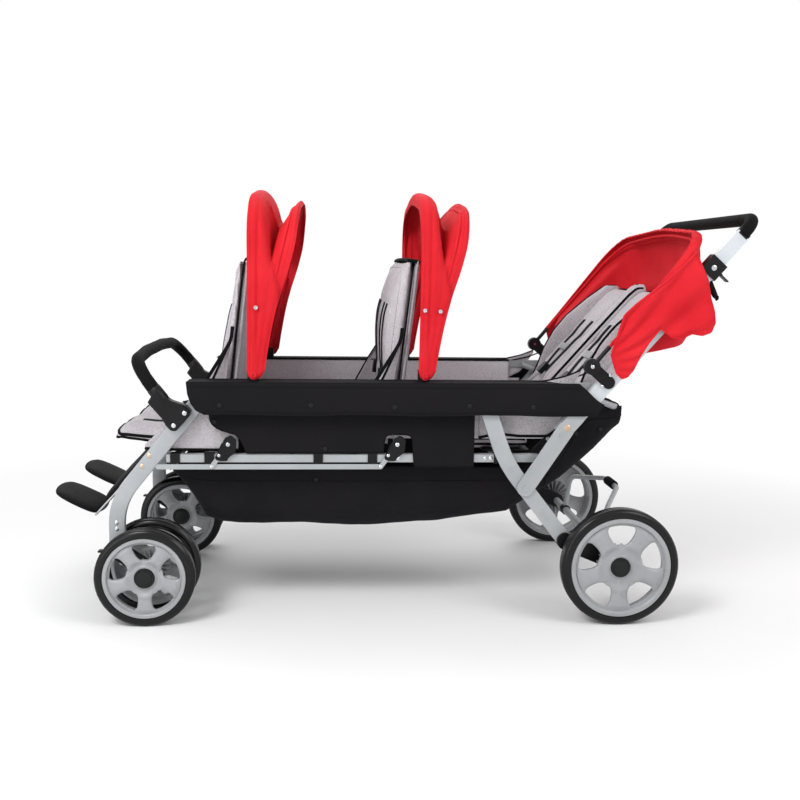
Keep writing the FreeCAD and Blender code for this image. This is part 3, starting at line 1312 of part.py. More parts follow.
def hood_side(pivot, y):
    """Room that the hood strip takes up beside a flap."""
    edge = 90 - d.rear_canopy_lean - d.rear_lip - gap_angle()
    far = d.rear_canopy_tall * 2
    a = along(pivot, edge, far)
    b = along(pivot, edge + 90, far)
    return plate([(pivot.x, pivot.z), (a.x, a.z), (b.x, b.z)], -(y + 2 * d.cloth), 4 * d.cloth)


def make_footrest():
    """Calf rest on its wire frame, and the two footrest pads that turn on it."""
    high = V(d.wire_pivot_x, 0, d.wire_pivot_z)
    low = V(d.wire_low_x, 0, d.wire_low_z)
    run = (low - high).normalize()
    out = V(run.z, 0, -run.x)
    half = V(0, d.wire_half_wide, 0)
    wire = round_bar([high - half, low - half, low + half, high + half],
                     d.wire_radius, d.wire_bend)
    reach = d.frame_y - d.tube_thick / 2 - d.layer_gap
    rod = pin(high.x, high.z, -reach, reach, d.wire_radius * 1.3)
    near = out * (d.wire_radius + d.layer_gap)
    far = out * (d.wire_radius + d.layer_gap + d.calf_thick)
    start = high + run * d.calf_start
    end = low - run * d.calf_short
    corners = [start + near, end + near, end + far, start + far]
    rest = rounded_plate([(c.x, c.z) for c in corners], -d.calf_half_wide,
                         2 * d.calf_half_wide, d.calf_thick * 0.4)
    add_node("calf_rest", [wire.fuse(rod), rest])

    pads = []
    angle = 180 - d.pad_rise
    y = -(d.pad_pitch + d.pad_wide) / 2
    u = unit(angle)
    v = unit(angle - 90)
    base = low + V(0, y, 0) - v * (d.pad_thick / 2)
    wide = V(0, d.pad_wide, 0)
    first = base
    last = base + u * (d.pad_set + d.pad_long)
    slab = Part.Face(Part.makePolygon([first, last, last + wide, first + wide, first]))
    slab = slab.extrude(v * d.pad_thick)
    tips = [e for e in slab.Edges
            if abs(e.tangentAt(e.FirstParameter) * v) > 0.99 and (e.CenterOfMass - first) * u > d.pad_set]
    slab = slab.makeFillet(d.pad_corner, tips)
    sleeve = pin(low.x, low.z, y, y + d.pad_wide, d.pad_thick / 2)
    room = pin(low.x, low.z, y - d.overrun, y + d.pad_wide + d.overrun,
               d.wire_radius + d.axle_slack)
    pads += both_sides(slab.fuse(sleeve).cut(room))
    add_node("footrest_pads", pads)


def check_and_export():
    """Stop on any failed object or bad shape, then write one file for each sub-part."""
    doc.recompute()
    for item in doc.Objects:
        if {"Invalid", "Error"} & set(item.State):
            raise RuntimeError("object failed: " + item.Name)
    for name, node in nodes.items():
        if node.Shape.isNull() or not node.Shape.isValid():
            raise RuntimeError("bad shape: " + name)
    os.makedirs("parts", exist_ok=True)
    whole = FreeCAD.BoundBox()
    for name, node in nodes.items():
        node.Shape.exportStep("parts/%s.step" % name)
        whole.add(node.Shape.BoundBox)
    print("%d sub-parts, box %s" % (len(nodes), whole))


make_wheels()
make_casters()
make_side_frames()
make_rail_fittings()
make_rivets()
make_rear_legs()
make_brake()
make_push_bar()
make_seats()
make_links()
make_grab_bar()
make_side_cloth()
make_basket()
make_canopies()
make_rear_canopy()
make_footrest()
check_and_export()
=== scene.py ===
"""Looks of the six seat daycare stroller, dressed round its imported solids.

Places are given in millimetres in the stroller's own frame: +X points to the rear, the near
left side is -Y and Z rises from the floor. `put` turns them into metres of the scene.
"""
from __future__ import annotations

import logging
import math
from collections.abc import Callable, Sequence
from dataclasses import dataclass, field
from enum import Enum

import bmesh
import bpy
from mathutils import Matrix, Vector, noise
from mathutils.bvhtree import BVHTree

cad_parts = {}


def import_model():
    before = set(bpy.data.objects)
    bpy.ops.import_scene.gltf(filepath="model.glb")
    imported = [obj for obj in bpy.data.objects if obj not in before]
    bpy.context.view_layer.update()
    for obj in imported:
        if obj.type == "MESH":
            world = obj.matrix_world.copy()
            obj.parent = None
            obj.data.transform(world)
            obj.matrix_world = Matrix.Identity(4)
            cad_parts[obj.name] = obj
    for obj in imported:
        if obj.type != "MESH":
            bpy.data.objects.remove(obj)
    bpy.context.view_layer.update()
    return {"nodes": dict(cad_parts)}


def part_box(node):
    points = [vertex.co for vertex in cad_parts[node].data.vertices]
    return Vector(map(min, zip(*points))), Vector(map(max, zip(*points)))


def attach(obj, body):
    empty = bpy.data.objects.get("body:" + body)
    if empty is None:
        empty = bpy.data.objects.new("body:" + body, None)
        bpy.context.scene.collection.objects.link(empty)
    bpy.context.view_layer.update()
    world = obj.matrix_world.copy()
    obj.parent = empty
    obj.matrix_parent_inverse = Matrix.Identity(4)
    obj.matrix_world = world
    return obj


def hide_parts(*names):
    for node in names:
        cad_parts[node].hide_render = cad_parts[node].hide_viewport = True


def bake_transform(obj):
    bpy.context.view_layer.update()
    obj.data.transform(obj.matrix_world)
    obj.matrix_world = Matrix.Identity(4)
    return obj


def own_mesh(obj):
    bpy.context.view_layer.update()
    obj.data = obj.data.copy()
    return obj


LOG = logging.getLogger("stroller")
MM = 0.001
SIDES = (-1, 1)
SIDE_NAME = {-1: "left", 1: "right"}

Line = list[Vector]
Section = list[tuple[float, float]]
Outline = list[tuple[float, float]]
Mesh = tuple[list[Vector], list[tuple[int, ...]]]
Colour = tuple[float, float, float]


@dataclass
class Datum:
    """Where the stroller's own origin stands along X in the scene, in metres."""

    shift: float = 0.0

    def find(self) -> None:
        """Read the shift from the rear axle, which stands at X 740 in the stroller's frame."""
        low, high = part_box("rear_tyre_left")
        self.shift = (low.x + high.x) / 2 - 740.0 * MM

    def out(self, place: Vector) -> Vector:
        """Place in millimetres as a point of the scene."""
        return Vector((place.x * MM + self.shift, place.y * MM, place.z * MM))

    def back(self, point: Vector) -> Vector:
        """Point of the scene as a place in millimetres."""
        return Vector(((point.x - self.shift) / MM, point.y / MM, point.z / MM))


DATUM = Datum()


class Pattern(Enum):
    """Surface detail of a finish."""

    GRAIN = "grain"
    CLOTH = "cloth"
    HEATHER = "heather"
    BRUSHED = "brushed"
    RIBBED = "ribbed"


def linear(colour: Colour) -> tuple[float, float, float, float]:
    """Screen colour from 0 to 255 as the linear colour that Blender mixes.

    Args:
        colour: Red, green and blue from 0 to 255.

    Returns:
        Linear red, green, blue and an alpha of one.
    """
    parts = [c / 255 for c in colour]
    made = [c / 12.92 if c <= 0.04045 else ((c + 0.055) / 1.055) ** 2.4 for c in parts]
    return (made[0], made[1], made[2], 1.0)


@dataclass(frozen=True)
class Finish:
    """Colour, gloss and surface detail of one material of the stroller."""

    name: str
    colour: Colour
    shade: Colour
    roughness: float
    pattern: Pattern = Pattern.GRAIN
    metallic: float = 0.0
    sheen: float = 0.0
    coat: float = 0.0
    patch_scale: float = 9.0
    detail_scale: float = 420.0
    bump: float = 0.12
    gloss: float = 0.35

    def material(self) -> bpy.types.Material:
        """The finish as a material, made once.

        Returns:
            The Blender material.
        """
        found = bpy.data.materials.get(self.name)
        return found if found else self._build()

    def _build(self) -> bpy.types.Material:
        """Make the node tree.

        Returns:
            The new material.
        """
        material = bpy.data.materials.new(self.name)
        material.use_nodes = True
        tree = material.node_tree
        shader = tree.nodes["Principled BSDF"]
        shader.inputs["Metallic"].default_value = self.metallic
        shader.inputs["Specular IOR Level"].default_value = self.gloss
        shader.inputs["Coat Weight"].default_value = self.coat
        shader.inputs["Coat Roughness"].default_value = 0.2
        shader.inputs["Sheen Weight"].default_value = self.sheen
        shader.inputs["Sheen Roughness"].default_value = 0.5
        place = tree.nodes.new("ShaderNodeTexCoord").outputs["Object"]
        patches = self._noise(tree, place, self.patch_scale, 4.0)
        fine = self._noise(tree, place, self.detail_scale, 2.0)
        detail = self._detail(tree, place, fine)
        amount = patches
        if self.pattern is Pattern.HEATHER:
            amount = self._math(tree, "MULTIPLY_ADD", fine, 1.5, -0.25)
            amount = self._join(tree, "ADD", amount, self._math(tree, "MULTIPLY", patches, 0.3))
        ramp = tree.nodes.new("ShaderNodeValToRGB")
        ramp.color_ramp.elements[0].position = 0.3
        ramp.color_ramp.elements[1].position = 0.72
        ramp.color_ramp.elements[0].color = linear(self.shade)
        ramp.color_ramp.elements[1].color = linear(self.colour)
        tree.links.new(amount, ramp.inputs["Fac"])
        tree.links.new(ramp.outputs["Color"], shader.inputs["Base Color"])
        gloss = tree.nodes.new("ShaderNodeMapRange")
        gloss.inputs["To Min"].default_value = max(0.05, self.roughness - 0.07)
        gloss.inputs["To Max"].default_value = min(1.0, self.roughness + 0.07)
        tree.links.new(patches, gloss.inputs["Value"])
        tree.links.new(gloss.outputs["Result"], shader.inputs["Roughness"])
        relief = tree.nodes.new("ShaderNodeBump")
        relief.inputs["Strength"].default_value = self.bump
        relief.inputs["Distance"].default_value = 0.6 * MM
        tree.links.new(detail, relief.inputs["Height"])
        tree.links.new(relief.outputs["Normal"], shader.inputs["Normal"])
        return material

    @staticmethod
    def _noise(tree, place, scale: float, depth: float):
        """Noise value at a scale, from the object's own coordinates."""
        node = tree.nodes.new("ShaderNodeTexNoise")
        node.inputs["Scale"].default_value = scale
        node.inputs["Detail"].default_value = depth
        tree.links.new(place, node.inputs["Vector"])
        return node.outputs["Fac"]

    @staticmethod
    def _math(tree, operation: str, value, first: float, second: float = 0.0):
        """Arithmetic on a value with one or two numbers."""
        node = tree.nodes.new("ShaderNodeMath")
        node.operation = operation
        tree.links.new(value, node.inputs[0])
        node.inputs[1].default_value = first
        node.inputs[2].default_value = second
        return node.outputs[0]

    @staticmethod
    def _join(tree, operation: str, first, second):
        """Arithmetic on two values."""
        node = tree.nodes.new("ShaderNodeMath")
        node.operation = operation
        tree.links.new(first, node.inputs[0])
        tree.links.new(second, node.inputs[1])
        return node.outputs[0]

    def _wave(self, tree, place, axis: str):
        """Fine thread lines across one axis."""
        node = tree.nodes.new("ShaderNodeTexWave")
        node.bands_direction = axis
        node.inputs["Scale"].default_value = self.detail_scale * 0.6
        node.inputs["Distortion"].default_value = 0.6
        node.inputs["Detail"].default_value = 1.0
        tree.links.new(place, node.inputs["Vector"])
        return node.outputs["Fac"]

    def _detail(self, tree, place, fine):
        """Height that the bump reads, by the pattern.

        Args:
            tree: Node tree of the material.
            place: Object coordinates.
            fine: Fine noise of the finish.

        Returns:
            Output socket with the height.
        """
        if self.pattern in (Pattern.CLOTH, Pattern.HEATHER):
            threads = self._join(tree, "MAXIMUM", self._wave(tree, place, "X"),
                                 self._wave(tree, place, "Z"))
            threads = self._join(tree, "ADD", threads, self._wave(tree, place, "Y"))
            return self._join(tree, "ADD", threads, fine)
        if self.pattern is Pattern.RIBBED:
            return self._join(tree, "ADD", self._wave(tree, place, "Z"), fine)
        if self.pattern is Pattern.BRUSHED:
            return self._noise(tree, place, self.detail_scale * 2, 1.0)
        return fine


STEEL = Finish("silver_paint", (170, 174, 177), (157, 161, 164), 0.42, metallic=0.2, coat=0.1,
               bump=0.05)
PALE_STEEL = Finish("handle_silver", (208, 214, 218), (196, 202, 207), 0.36, metallic=0.25,
                    coat=0.2, bump=0.05)
PLASTIC = Finish("moulded_plastic", (21, 21, 23), (14, 14, 16), 0.4, detail_scale=900, bump=0.16,
                 gloss=0.2)
GLOSS_PLASTIC = Finish("cap_plastic", (22, 23, 24), (17, 18, 19), 0.34, bump=0.06,
                       gloss=0.26)
FOAM = Finish("grip_foam", (15, 15, 16), (10, 10, 11), 0.78, detail_scale=700, bump=0.3, gloss=0.1)
RUBBER = Finish("tyre_rubber", (8, 8, 9), (5, 5, 6), 0.24, detail_scale=600, bump=0.12,
                gloss=0.3)
RIM = Finish("rim_plastic", (161, 162, 165), (146, 147, 150), 0.28, detail_scale=800, bump=0.07)
HEATHER = Finish("heather_cloth", (208, 203, 208), (146, 142, 148), 0.94, Pattern.HEATHER,
                 patch_scale=14, detail_scale=520, bump=0.5, gloss=0.1)
# Lining cloth lighter than the heather: painted light that makes up for the shade inside the rails.
PAINTED_LIGHT_LINING = Finish("grey_lining_painted_light", (232, 228, 232), (186, 182, 187), 0.94, Pattern.HEATHER,
                patch_scale=12, detail_scale=480, bump=0.4, gloss=0.1)
# Heather cloth darkened as painted shade for the backward-facing back shells.
SHADED_SHELL_CLOTH = Finish("back_shell_painted_shade", (176, 171, 176), (126, 122, 127), 0.94, Pattern.HEATHER,
               patch_scale=12, detail_scale=480, bump=0.4, gloss=0.1)
BLACK = Finish("black_cloth", (23, 21, 25), (16, 15, 18), 0.82, Pattern.CLOTH, patch_scale=7,
               bump=0.45, gloss=0.14)
RED = Finish("red_cloth", (220, 40, 50), (198, 22, 34), 0.7, Pattern.CLOTH, patch_scale=6,
             bump=0.35, gloss=0.14)
BINDING = Finish("black_binding", (18, 17, 19), (12, 12, 13), 0.8, Pattern.CLOTH, bump=0.5,
                 gloss=0.1)
WEBBING = Finish("black_webbing", (22, 22, 24), (13, 13, 15), 0.75, Pattern.RIBBED, bump=0.7,
                 gloss=0.12)
PALE_WEBBING = Finish("grey_webbing", (176, 176, 178), (150, 150, 153), 0.8, Pattern.RIBBED,
                      bump=0.6)
BRIGHT = Finish("bright_rivets", (214, 216, 220), (186, 188, 192), 0.24, Pattern.BRUSHED,
                metallic=0.95, bump=0.05)
COPPER = Finish("copper_rivets", (222, 196, 170), (196, 162, 134), 0.3, Pattern.BRUSHED,
                metallic=0.9, bump=0.05)
WIRE = Finish("plated_wire", (205, 208, 210), (176, 180, 183), 0.26, Pattern.BRUSHED,
              metallic=0.85, bump=0.05)
PAD = Finish("pad_cover", (15, 14, 17), (10, 9, 11), 0.6, Pattern.CLOTH, detail_scale=600,
             bump=0.22, gloss=0.08)


def vec(x: float, y: float, z: float) -> Vector:
    """Short name for a place."""
    return Vector((x, y, z))


def unit(angle: float) -> Vector:
    """Unit vector in the side view at an angle above +X, in degrees."""
    turn = math.radians(angle)
    return vec(math.cos(turn), 0, math.sin(turn))


def mix(a: float, b: float, share: float) -> float:
    """Value between two values."""
    return a + (b - a) * share


def smooth(share: float) -> float:
    """Smooth step of a share that is held between 0 and 1."""
    t = min(1.0, max(0.0, share))
    return t * t * (3 - 2 * t)


def table(points: Sequence[tuple[float, float]], x: float) -> float:
    """Height of a broken line at a place.

    Args:
        points: Corners of the line in rising order.
        x: Place along it.

    Returns:
        The height, held level past the ends.
    """
    if x <= points[0][0]:
        return points[0][1]
    for (a, low), (b, high) in zip(points, points[1:]):
        if x <= b:
            return mix(low, high, (x - a) / max(b - a, 1e-6))
    return points[-1][1]


def ripple(place: Vector, scale: float, seed: float = 0.0) -> float:
    """Soft noise from -1 to 1 at a place; scale is the size of its waves in millimetres."""
    return noise.noise(place / scale + vec(seed, seed * 0.7, seed * 1.3))


def put(name: str, mesh: Mesh, finish: Finish, body: str = "", slot: str = "",
        angle: float = 38.0) -> bpy.types.Object:
    """Make an object from a mesh in millimetres, dress it and let it ride.

    Args:
        name: Name of the piece.
        mesh: Places and faces.
        finish: Its finish.
        body: Body that it rides on, or nothing for a piece that is blended later.
        slot: Material slot of the record; not used.
        angle: Edges sharper than this stay sharp, in degrees.

    Returns:
        The new object.
    """
    data = bpy.data.meshes.new(name)
    data.from_pydata([DATUM.out(v) for v in mesh[0]], [], mesh[1])
    cleaner = bmesh.new()
    cleaner.from_mesh(data)
    bmesh.ops.remove_doubles(cleaner, verts=cleaner.verts, dist=2e-5)
    bmesh.ops.dissolve_degenerate(cleaner, edges=cleaner.edges, dist=1e-6)
    loose = [v for v in cleaner.verts if not v.link_faces]
    bmesh.ops.delete(cleaner, geom=loose, context="VERTS")
    bmesh.ops.recalc_face_normals(cleaner, faces=cleaner.faces)
    cleaner.to_mesh(data)
    cleaner.free()
    data.shade_smooth()
    data.set_sharp_from_angle(angle=math.radians(angle))
    data.materials.append(finish.material())
    piece = bpy.data.objects.new(name, data)
    bpy.context.scene.collection.objects.link(piece)
    if body:
        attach(piece, body)
    LOG.info("made %s: %d faces", name, len(data.polygons))
    return piece


def joined(*meshes: Mesh) -> Mesh:
    """Several meshes as one."""
    places: list[Vector] = []
    faces: list[tuple[int, ...]] = []
    for verts, polygons in meshes:
        start = len(places)
        places += verts
        faces += [tuple(i + start for i in face) for face in polygons]
    return places, faces


def mirrored(mesh: Mesh) -> Mesh:
    """The same mesh on the other side of the stroller."""
    return [vec(v.x, -v.y, v.z) for v in mesh[0]], [tuple(reversed(f)) for f in mesh[1]]


def both(mesh: Mesh) -> Mesh:
    """A mesh and its mirror image."""
    return joined(mesh, mirrored(mesh))


def settle(piece: bpy.types.Object) -> None:
    """Keep what a piece's modifiers make as its own mesh."""
    graph = bpy.context.evaluated_depsgraph_get()
    fresh = bpy.data.meshes.new_from_object(piece.evaluated_get(graph))
    piece.modifiers.clear()
    piece.data = fresh


def swell(piece: bpy.types.Object, voxel: float, cap: float, pressure: float = 4.0) -> None:
    """Blow a pad up a little by a cloth simulation, so that its cover wrinkles and bulges.

    Args:
        piece: Closed pad.
        voxel: Size of the remeshed faces in millimetres.
        cap: Furthest that a point may move, in millimetres.
        pressure: Pressure inside the cover.
    """
    remesh = piece.modifiers.new("remesh", "REMESH")
    remesh.mode = "VOXEL"
    remesh.voxel_size = voxel * MM
    settle(piece)
    rest = [v.co.copy() for v in piece.data.vertices]
    cloth = piece.modifiers.new("cloth", "CLOTH")
    cloth.settings.use_pressure = True
    cloth.settings.uniform_pressure_force = pressure
    cloth.settings.effector_weights.gravity = 0.0
    cloth.settings.quality = 4
    cloth.settings.tension_stiffness = 12
    cloth.settings.compression_stiffness = 12
    cloth.point_cache.frame_end = 20
    scene = bpy.context.scene
    for frame in range(1, 21):
        scene.frame_set(frame)
    graph = bpy.context.evaluated_depsgraph_get()
    moved = piece.evaluated_get(graph).data.vertices
    shifts = [m.co - r for m, r in zip(moved, rest)]
    piece.modifiers.clear()
    scene.frame_set(1)
    for vertex, start, shift in zip(piece.data.vertices, rest, shifts):
        limit = min(1.0, cap * MM / max(shift.length, 1e-9))
        vertex.co = start + shift * limit
    finer = piece.modifiers.new("finer", "SUBSURF")
    finer.levels = 1
    settle(piece)
    piece.data.shade_smooth()
    LOG.info("swelled %s: %d faces", piece.name, len(piece.data.polygons))


def rounded(points: Sequence[Vector], radii: float | Sequence[float], steps: int = 8) -> Line:
    """Line of straight runs joined by arcs.

    Args:
        points: Corners of the line.
        radii: Radius of every corner, or one for each inner corner.
        steps: Pieces of an arc.

    Returns:
        Points of the line.
    """
    inner = list(points[1:-1])
    bends = [float(radii)] * len(inner) if isinstance(radii, (int, float)) else list(radii)
    line = [points[0].copy()]
    for before, corner, after, radius in zip(points, inner, points[2:], bends):
        a = (before - corner).normalized()
        b = (after - corner).normalized()
        half = a.angle(b) / 2
        if radius <= 0 or half > 1.553:
            line.append(corner.copy())
            continue
        reach = radius / math.tan(half)
        centre = corner + (a + b).normalized() * (radius / math.sin(half))
        start = corner + a * reach - centre
        end = corner + b * reach - centre
        turn = start.angle(end)
        for i in range(steps + 1):
            t = i / steps
            blend = start * math.sin((1 - t) * turn) + end * math.sin(t * turn)
            line.append(centre + blend / math.sin(turn))
    line.append(points[-1].copy())
    return line


def even(line: Sequence[Vector], count: int) -> Line:
    """Line of evenly spaced points.

    Args:
        line: Points of the line.
        count: How many points it gets.

    Returns:
        The new points, with the same ends.
    """
    lengths = [0.0]
    for a, b in zip(line, line[1:]):
        lengths.append(lengths[-1] + (b - a).length)
    made = []
    k = 0
    for i in range(count):
        want = lengths[-1] * i / (count - 1)
        while k < len(line) - 2 and lengths[k + 1] < want:
            k += 1
        gap = max(lengths[k + 1] - lengths[k], 1e-9)
        made.append(line[k].lerp(line[k + 1], min(1.0, (want - lengths[k]) / gap)))
    return made


def frames(line: Sequence[Vector], up: Vector) -> list[tuple[Vector, Vector]]:
    """Two directions square to a line at each of its points, carried along without a twist.

    Args:
        line: Points of the line.
        up: Wished direction of the first one at the start.

    Returns:
        Pairs of directions.
    """
    runs = []
    for i in range(len(line)):
        a = line[max(0, i - 1)]
        b = line[min(len(line) - 1, i + 1)]
        runs.append((b - a).normalized())
    normal = (up - runs[0] * up.dot(runs[0])).normalized()
    made = []
    last = runs[0]
    for run in runs:
        normal = last.rotation_difference(run) @ normal
        normal = (normal - run * normal.dot(run)).normalized()
        made.append((normal, run.cross(normal)))
        last = run
    return made


def circle(radius: float, count: int = 16, flat: float = 1.0) -> Section:
    """Round or oval section."""
    return [(radius * math.cos(math.tau * i / count), radius * flat * math.sin(math.tau * i / count))
            for i in range(count)]


def box_section(wide: float, thick: float, corner: float, steps: int = 3) -> Section:
    """Rectangle with rounded corners."""
    made = []
    for quarter, (sx, sy) in enumerate(((1, 1), (-1, 1), (-1, -1), (1, -1))):
        for i in range(steps + 1):
            turn = math.pi / 2 * (quarter + i / steps)
            made.append((sx * (wide / 2 - corner) + corner * math.cos(turn),
                         sy * (thick / 2 - corner) + corner * math.sin(turn)))
    return made


def sweep(line: Sequence[Vector], section: Section | Callable[[float], Section], up: Vector,
          capped: bool = True) -> Mesh:
    """Mesh swept along a line.

    Args:
        line: Points of the line.
        section: Section, first along `up`, or a function of the share of the line done.
        up: Direction of the section's first coordinate at the start.
        capped: Whether the ends are closed.

    Returns:
        Places and faces.
    """
    places: list[Vector] = []
    faces: list[tuple[int, ...]] = []
    count = 0
    last = len(line) - 1
    for i, (point, (n, b)) in enumerate(zip(line, frames(line, up))):
        corners = section(i / last) if callable(section) else section
        count = len(corners)
        places += [point + n * u + b * w for u, w in corners]
        if i:
            base = (i - 1) * count
            for k in range(count):
                j = (k + 1) % count
                faces.append((base + k, base + j, base + count + j, base + count + k))
    if capped:
        faces.append(tuple(reversed(range(count))))
        faces.append(tuple(last * count + k for k in range(count)))
    return places, faces


def tube(line: Sequence[Vector], radius: float, count: int = 14) -> Mesh:
    """Round bar along a line."""
    run = (line[1] - line[0]).normalized()
    up = vec(0, 1, 0) if abs(run.y) < 0.9 else vec(0, 0, 1)
    return sweep(line, circle(radius, count), up)


def ribbon(line: Sequence[Vector], wide: float, thick: float, across: Vector) -> Mesh:
    """Flat strap along a line; `across` is the direction of its width at the start."""
    return sweep(line, box_section(wide, thick, thick * 0.45, 2), across)


def lathe(centre: Vector, profile: Sequence[tuple[float, float]], count: int = 48,
          swing: Callable[[int, int], float] | None = None, closed: bool = False) -> Mesh:
    """Mesh turned about a line along Y.

    Args:
        centre: Place on the axis that the profile starts from.
        profile: Pairs of shift along Y and radius.
        count: Steps round.
        swing: Change of the radius at a profile index and a step.
        closed: Whether the profile's last point joins its first.

    Returns:
        Places and faces.
    """
    places = []
    for i, (shift, radius) in enumerate(profile):
        for k in range(count):
            turn = math.tau * k / count
            r = radius + (swing(i, k) if swing else 0.0)
            places.append(centre + vec(r * math.cos(turn), shift, r * math.sin(turn)))
    faces = []
    rows = len(profile)
    for i in range(rows if closed else rows - 1):
        a, b = i * count, ((i + 1) % rows) * count
        for k in range(count):
            j = (k + 1) % count
            faces.append((a + k, a + j, b + j, b + k))
    return places, faces


def dome(centre: Vector, radius: float, side: int, tall: float = 2.6) -> Mesh:
    """Domed rivet head on a face that looks along Y."""
    profile = [(0.0, radius), (side * tall * 0.35, radius * 0.98), (side * tall * 0.75, radius * 0.8),
               (side * tall * 0.95, radius * 0.5), (side * tall, 0.0)]
    return lathe(centre, profile, 18)


def snap(centre: Vector, radius: float, side: int) -> Mesh:
    """Press stud on a cloth that looks along Y: a rim with a dished middle."""
    profile = [(0.0, radius), (side * 1.6, radius * 0.97), (side * 2.4, radius * 0.8),
               (side * 2.2, radius * 0.62), (side * 1.2, radius * 0.5), (side * 1.2, 0.0)]
    return lathe(centre, profile, 18)


def loop_round(points: Outline, radii: float | Sequence[float], steps: int = 5) -> Outline:
    """Closed outline in the side view whose corners are arcs."""
    count = len(points)
    bends = [float(radii)] * count if isinstance(radii, (int, float)) else list(radii)
    made: Outline = []
    for i in range(count):
        before, corner, after = (vec(points[k % count][0], 0, points[k % count][1])
                                 for k in (i - 1, i, i + 1))
        arc = rounded([before, corner, after], bends[i], steps)[1:-1]
        made += [(p.x, p.z) for p in arc]
    return made


def plate(points: Outline, low_y: float, thick: float, corner: float | Sequence[float] = 3.0,
          bevel: float = 0.8) -> Mesh:
    """Flat plate in the side view with rounded corners and eased edges.

    Args:
        points: Outline of (x, z) corners.
        low_y: Lower Y face.
        thick: Thickness along Y.
        corner: Radius of the corners.
        bevel: How far the edges are eased.

    Returns:
        Places and faces.
    """
    outline = loop_round(points, corner)
    count = len(outline)
    area = sum(outline[i - 1][0] * outline[i][1] - outline[i][0] * outline[i - 1][1]
               for i in range(count))
    sign = 1 if area > 0 else -1
    shrunk = []
    for i in range(count):
        a, b = vec(*outline[i - 1], 0), vec(*outline[(i + 1) % count], 0)
        run = (b - a).normalized()
        inward = vec(-run.y, run.x, 0) * sign
        shrunk.append((outline[i][0] + inward.x * bevel, outline[i][1] + inward.y * bevel))
    rings = [(shrunk, low_y), (outline, low_y + bevel), (outline, low_y + thick - bevel),
             (shrunk, low_y + thick)]
    places = [vec(x, y, z) for ring, y in rings for x, z in ring]
    faces = [tuple(range(count)), tuple(reversed(range(3 * count, 4 * count)))]
    for r in range(3):
        for k in range(count):
            j = (k + 1) % count
            a = r * count
            faces.append((a + k, a + count + k, a + count + j, a + j))
    return places, faces


def strap_outline(start: tuple[float, float], end: tuple[float, float], wide: float,
                  steps: int = 8) -> Outline:
    """Outline of a flat bar with round ends."""
    a, b = vec(start[0], 0, start[1]), vec(end[0], 0, end[1])
    turn = math.atan2(b.z - a.z, b.x - a.x)
    made = []
    for centre, base in ((b, turn - math.pi / 2), (a, turn + math.pi / 2)):
        for i in range(steps + 1):
            angle = base + math.pi * i / steps
            made.append((centre.x + wide / 2 * math.cos(angle), centre.z + wide / 2 * math.sin(angle)))
    return made


def grid(shape: Callable[[float, float], Vector], across: int, along: int) -> Mesh:
    """Open sheet from a function of two shares.

    Args:
        shape: Gives the place at shares u and v.
        across: Cells in u.
        along: Cells in v.

    Returns:
        Places and faces.
    """
    places = [shape(i / across, j / along) for i in range(across + 1) for j in range(along + 1)]
    step = along + 1
    faces = [(i * step + j, (i + 1) * step + j, (i + 1) * step + j + 1, i * step + j + 1)
             for i in range(across) for j in range(along)]
    return places, faces


def cloth(name: str, mesh: Mesh, finish: Finish, slot: str, body: str = "",
          thick: float = 1.4) -> bpy.types.Object:
    """Sheet of cloth with a real thickness.

    Args:
        name: Name of the piece.
        mesh: Open sheet.
        finish: Its finish.
        slot: Material slot of the record; not used.
        body: Body that it rides on, or nothing for a blended piece.
        thick: Thickness in millimetres.

    Returns:
        The new object.
    """
    piece = put(name, mesh, finish, "", slot, 70.0)
    skin = piece.modifiers.new("thickness", "SOLIDIFY")
    skin.thickness = thick * MM
    skin.offset = 0.0
    settle(piece)
    if body:
        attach(piece, body)
    return piece


def skin_line(piece: bpy.types.Object, line: Sequence[Vector], lift: float) -> Line:
    """A line laid on a piece's skin.

    Args:
        piece: Mesh that the line lies on.
        line: Points near its skin.
        lift: How far the line stands proud, in millimetres.

    Returns:
        Points on the skin.
    """
    data = piece.data
    tree = BVHTree.FromPolygons([v.co for v in data.vertices],
                                [tuple(p.vertices) for p in data.polygons])
    made = []
    for point in line:
        spot, normal, _, _ = tree.find_nearest(DATUM.out(point))
        made.append(DATUM.back(spot) + normal * lift)
    return made


def eased(line: Sequence[Vector], rounds: int = 2) -> Line:
    """Line whose small jumps are evened out, with its ends kept."""
    made = list(line)
    for _ in range(rounds):
        made = [made[0]] + [(a + b * 2 + c) / 4 for a, b, c in zip(made, made[1:], made[2:])] \
            + [made[-1]]
    return made


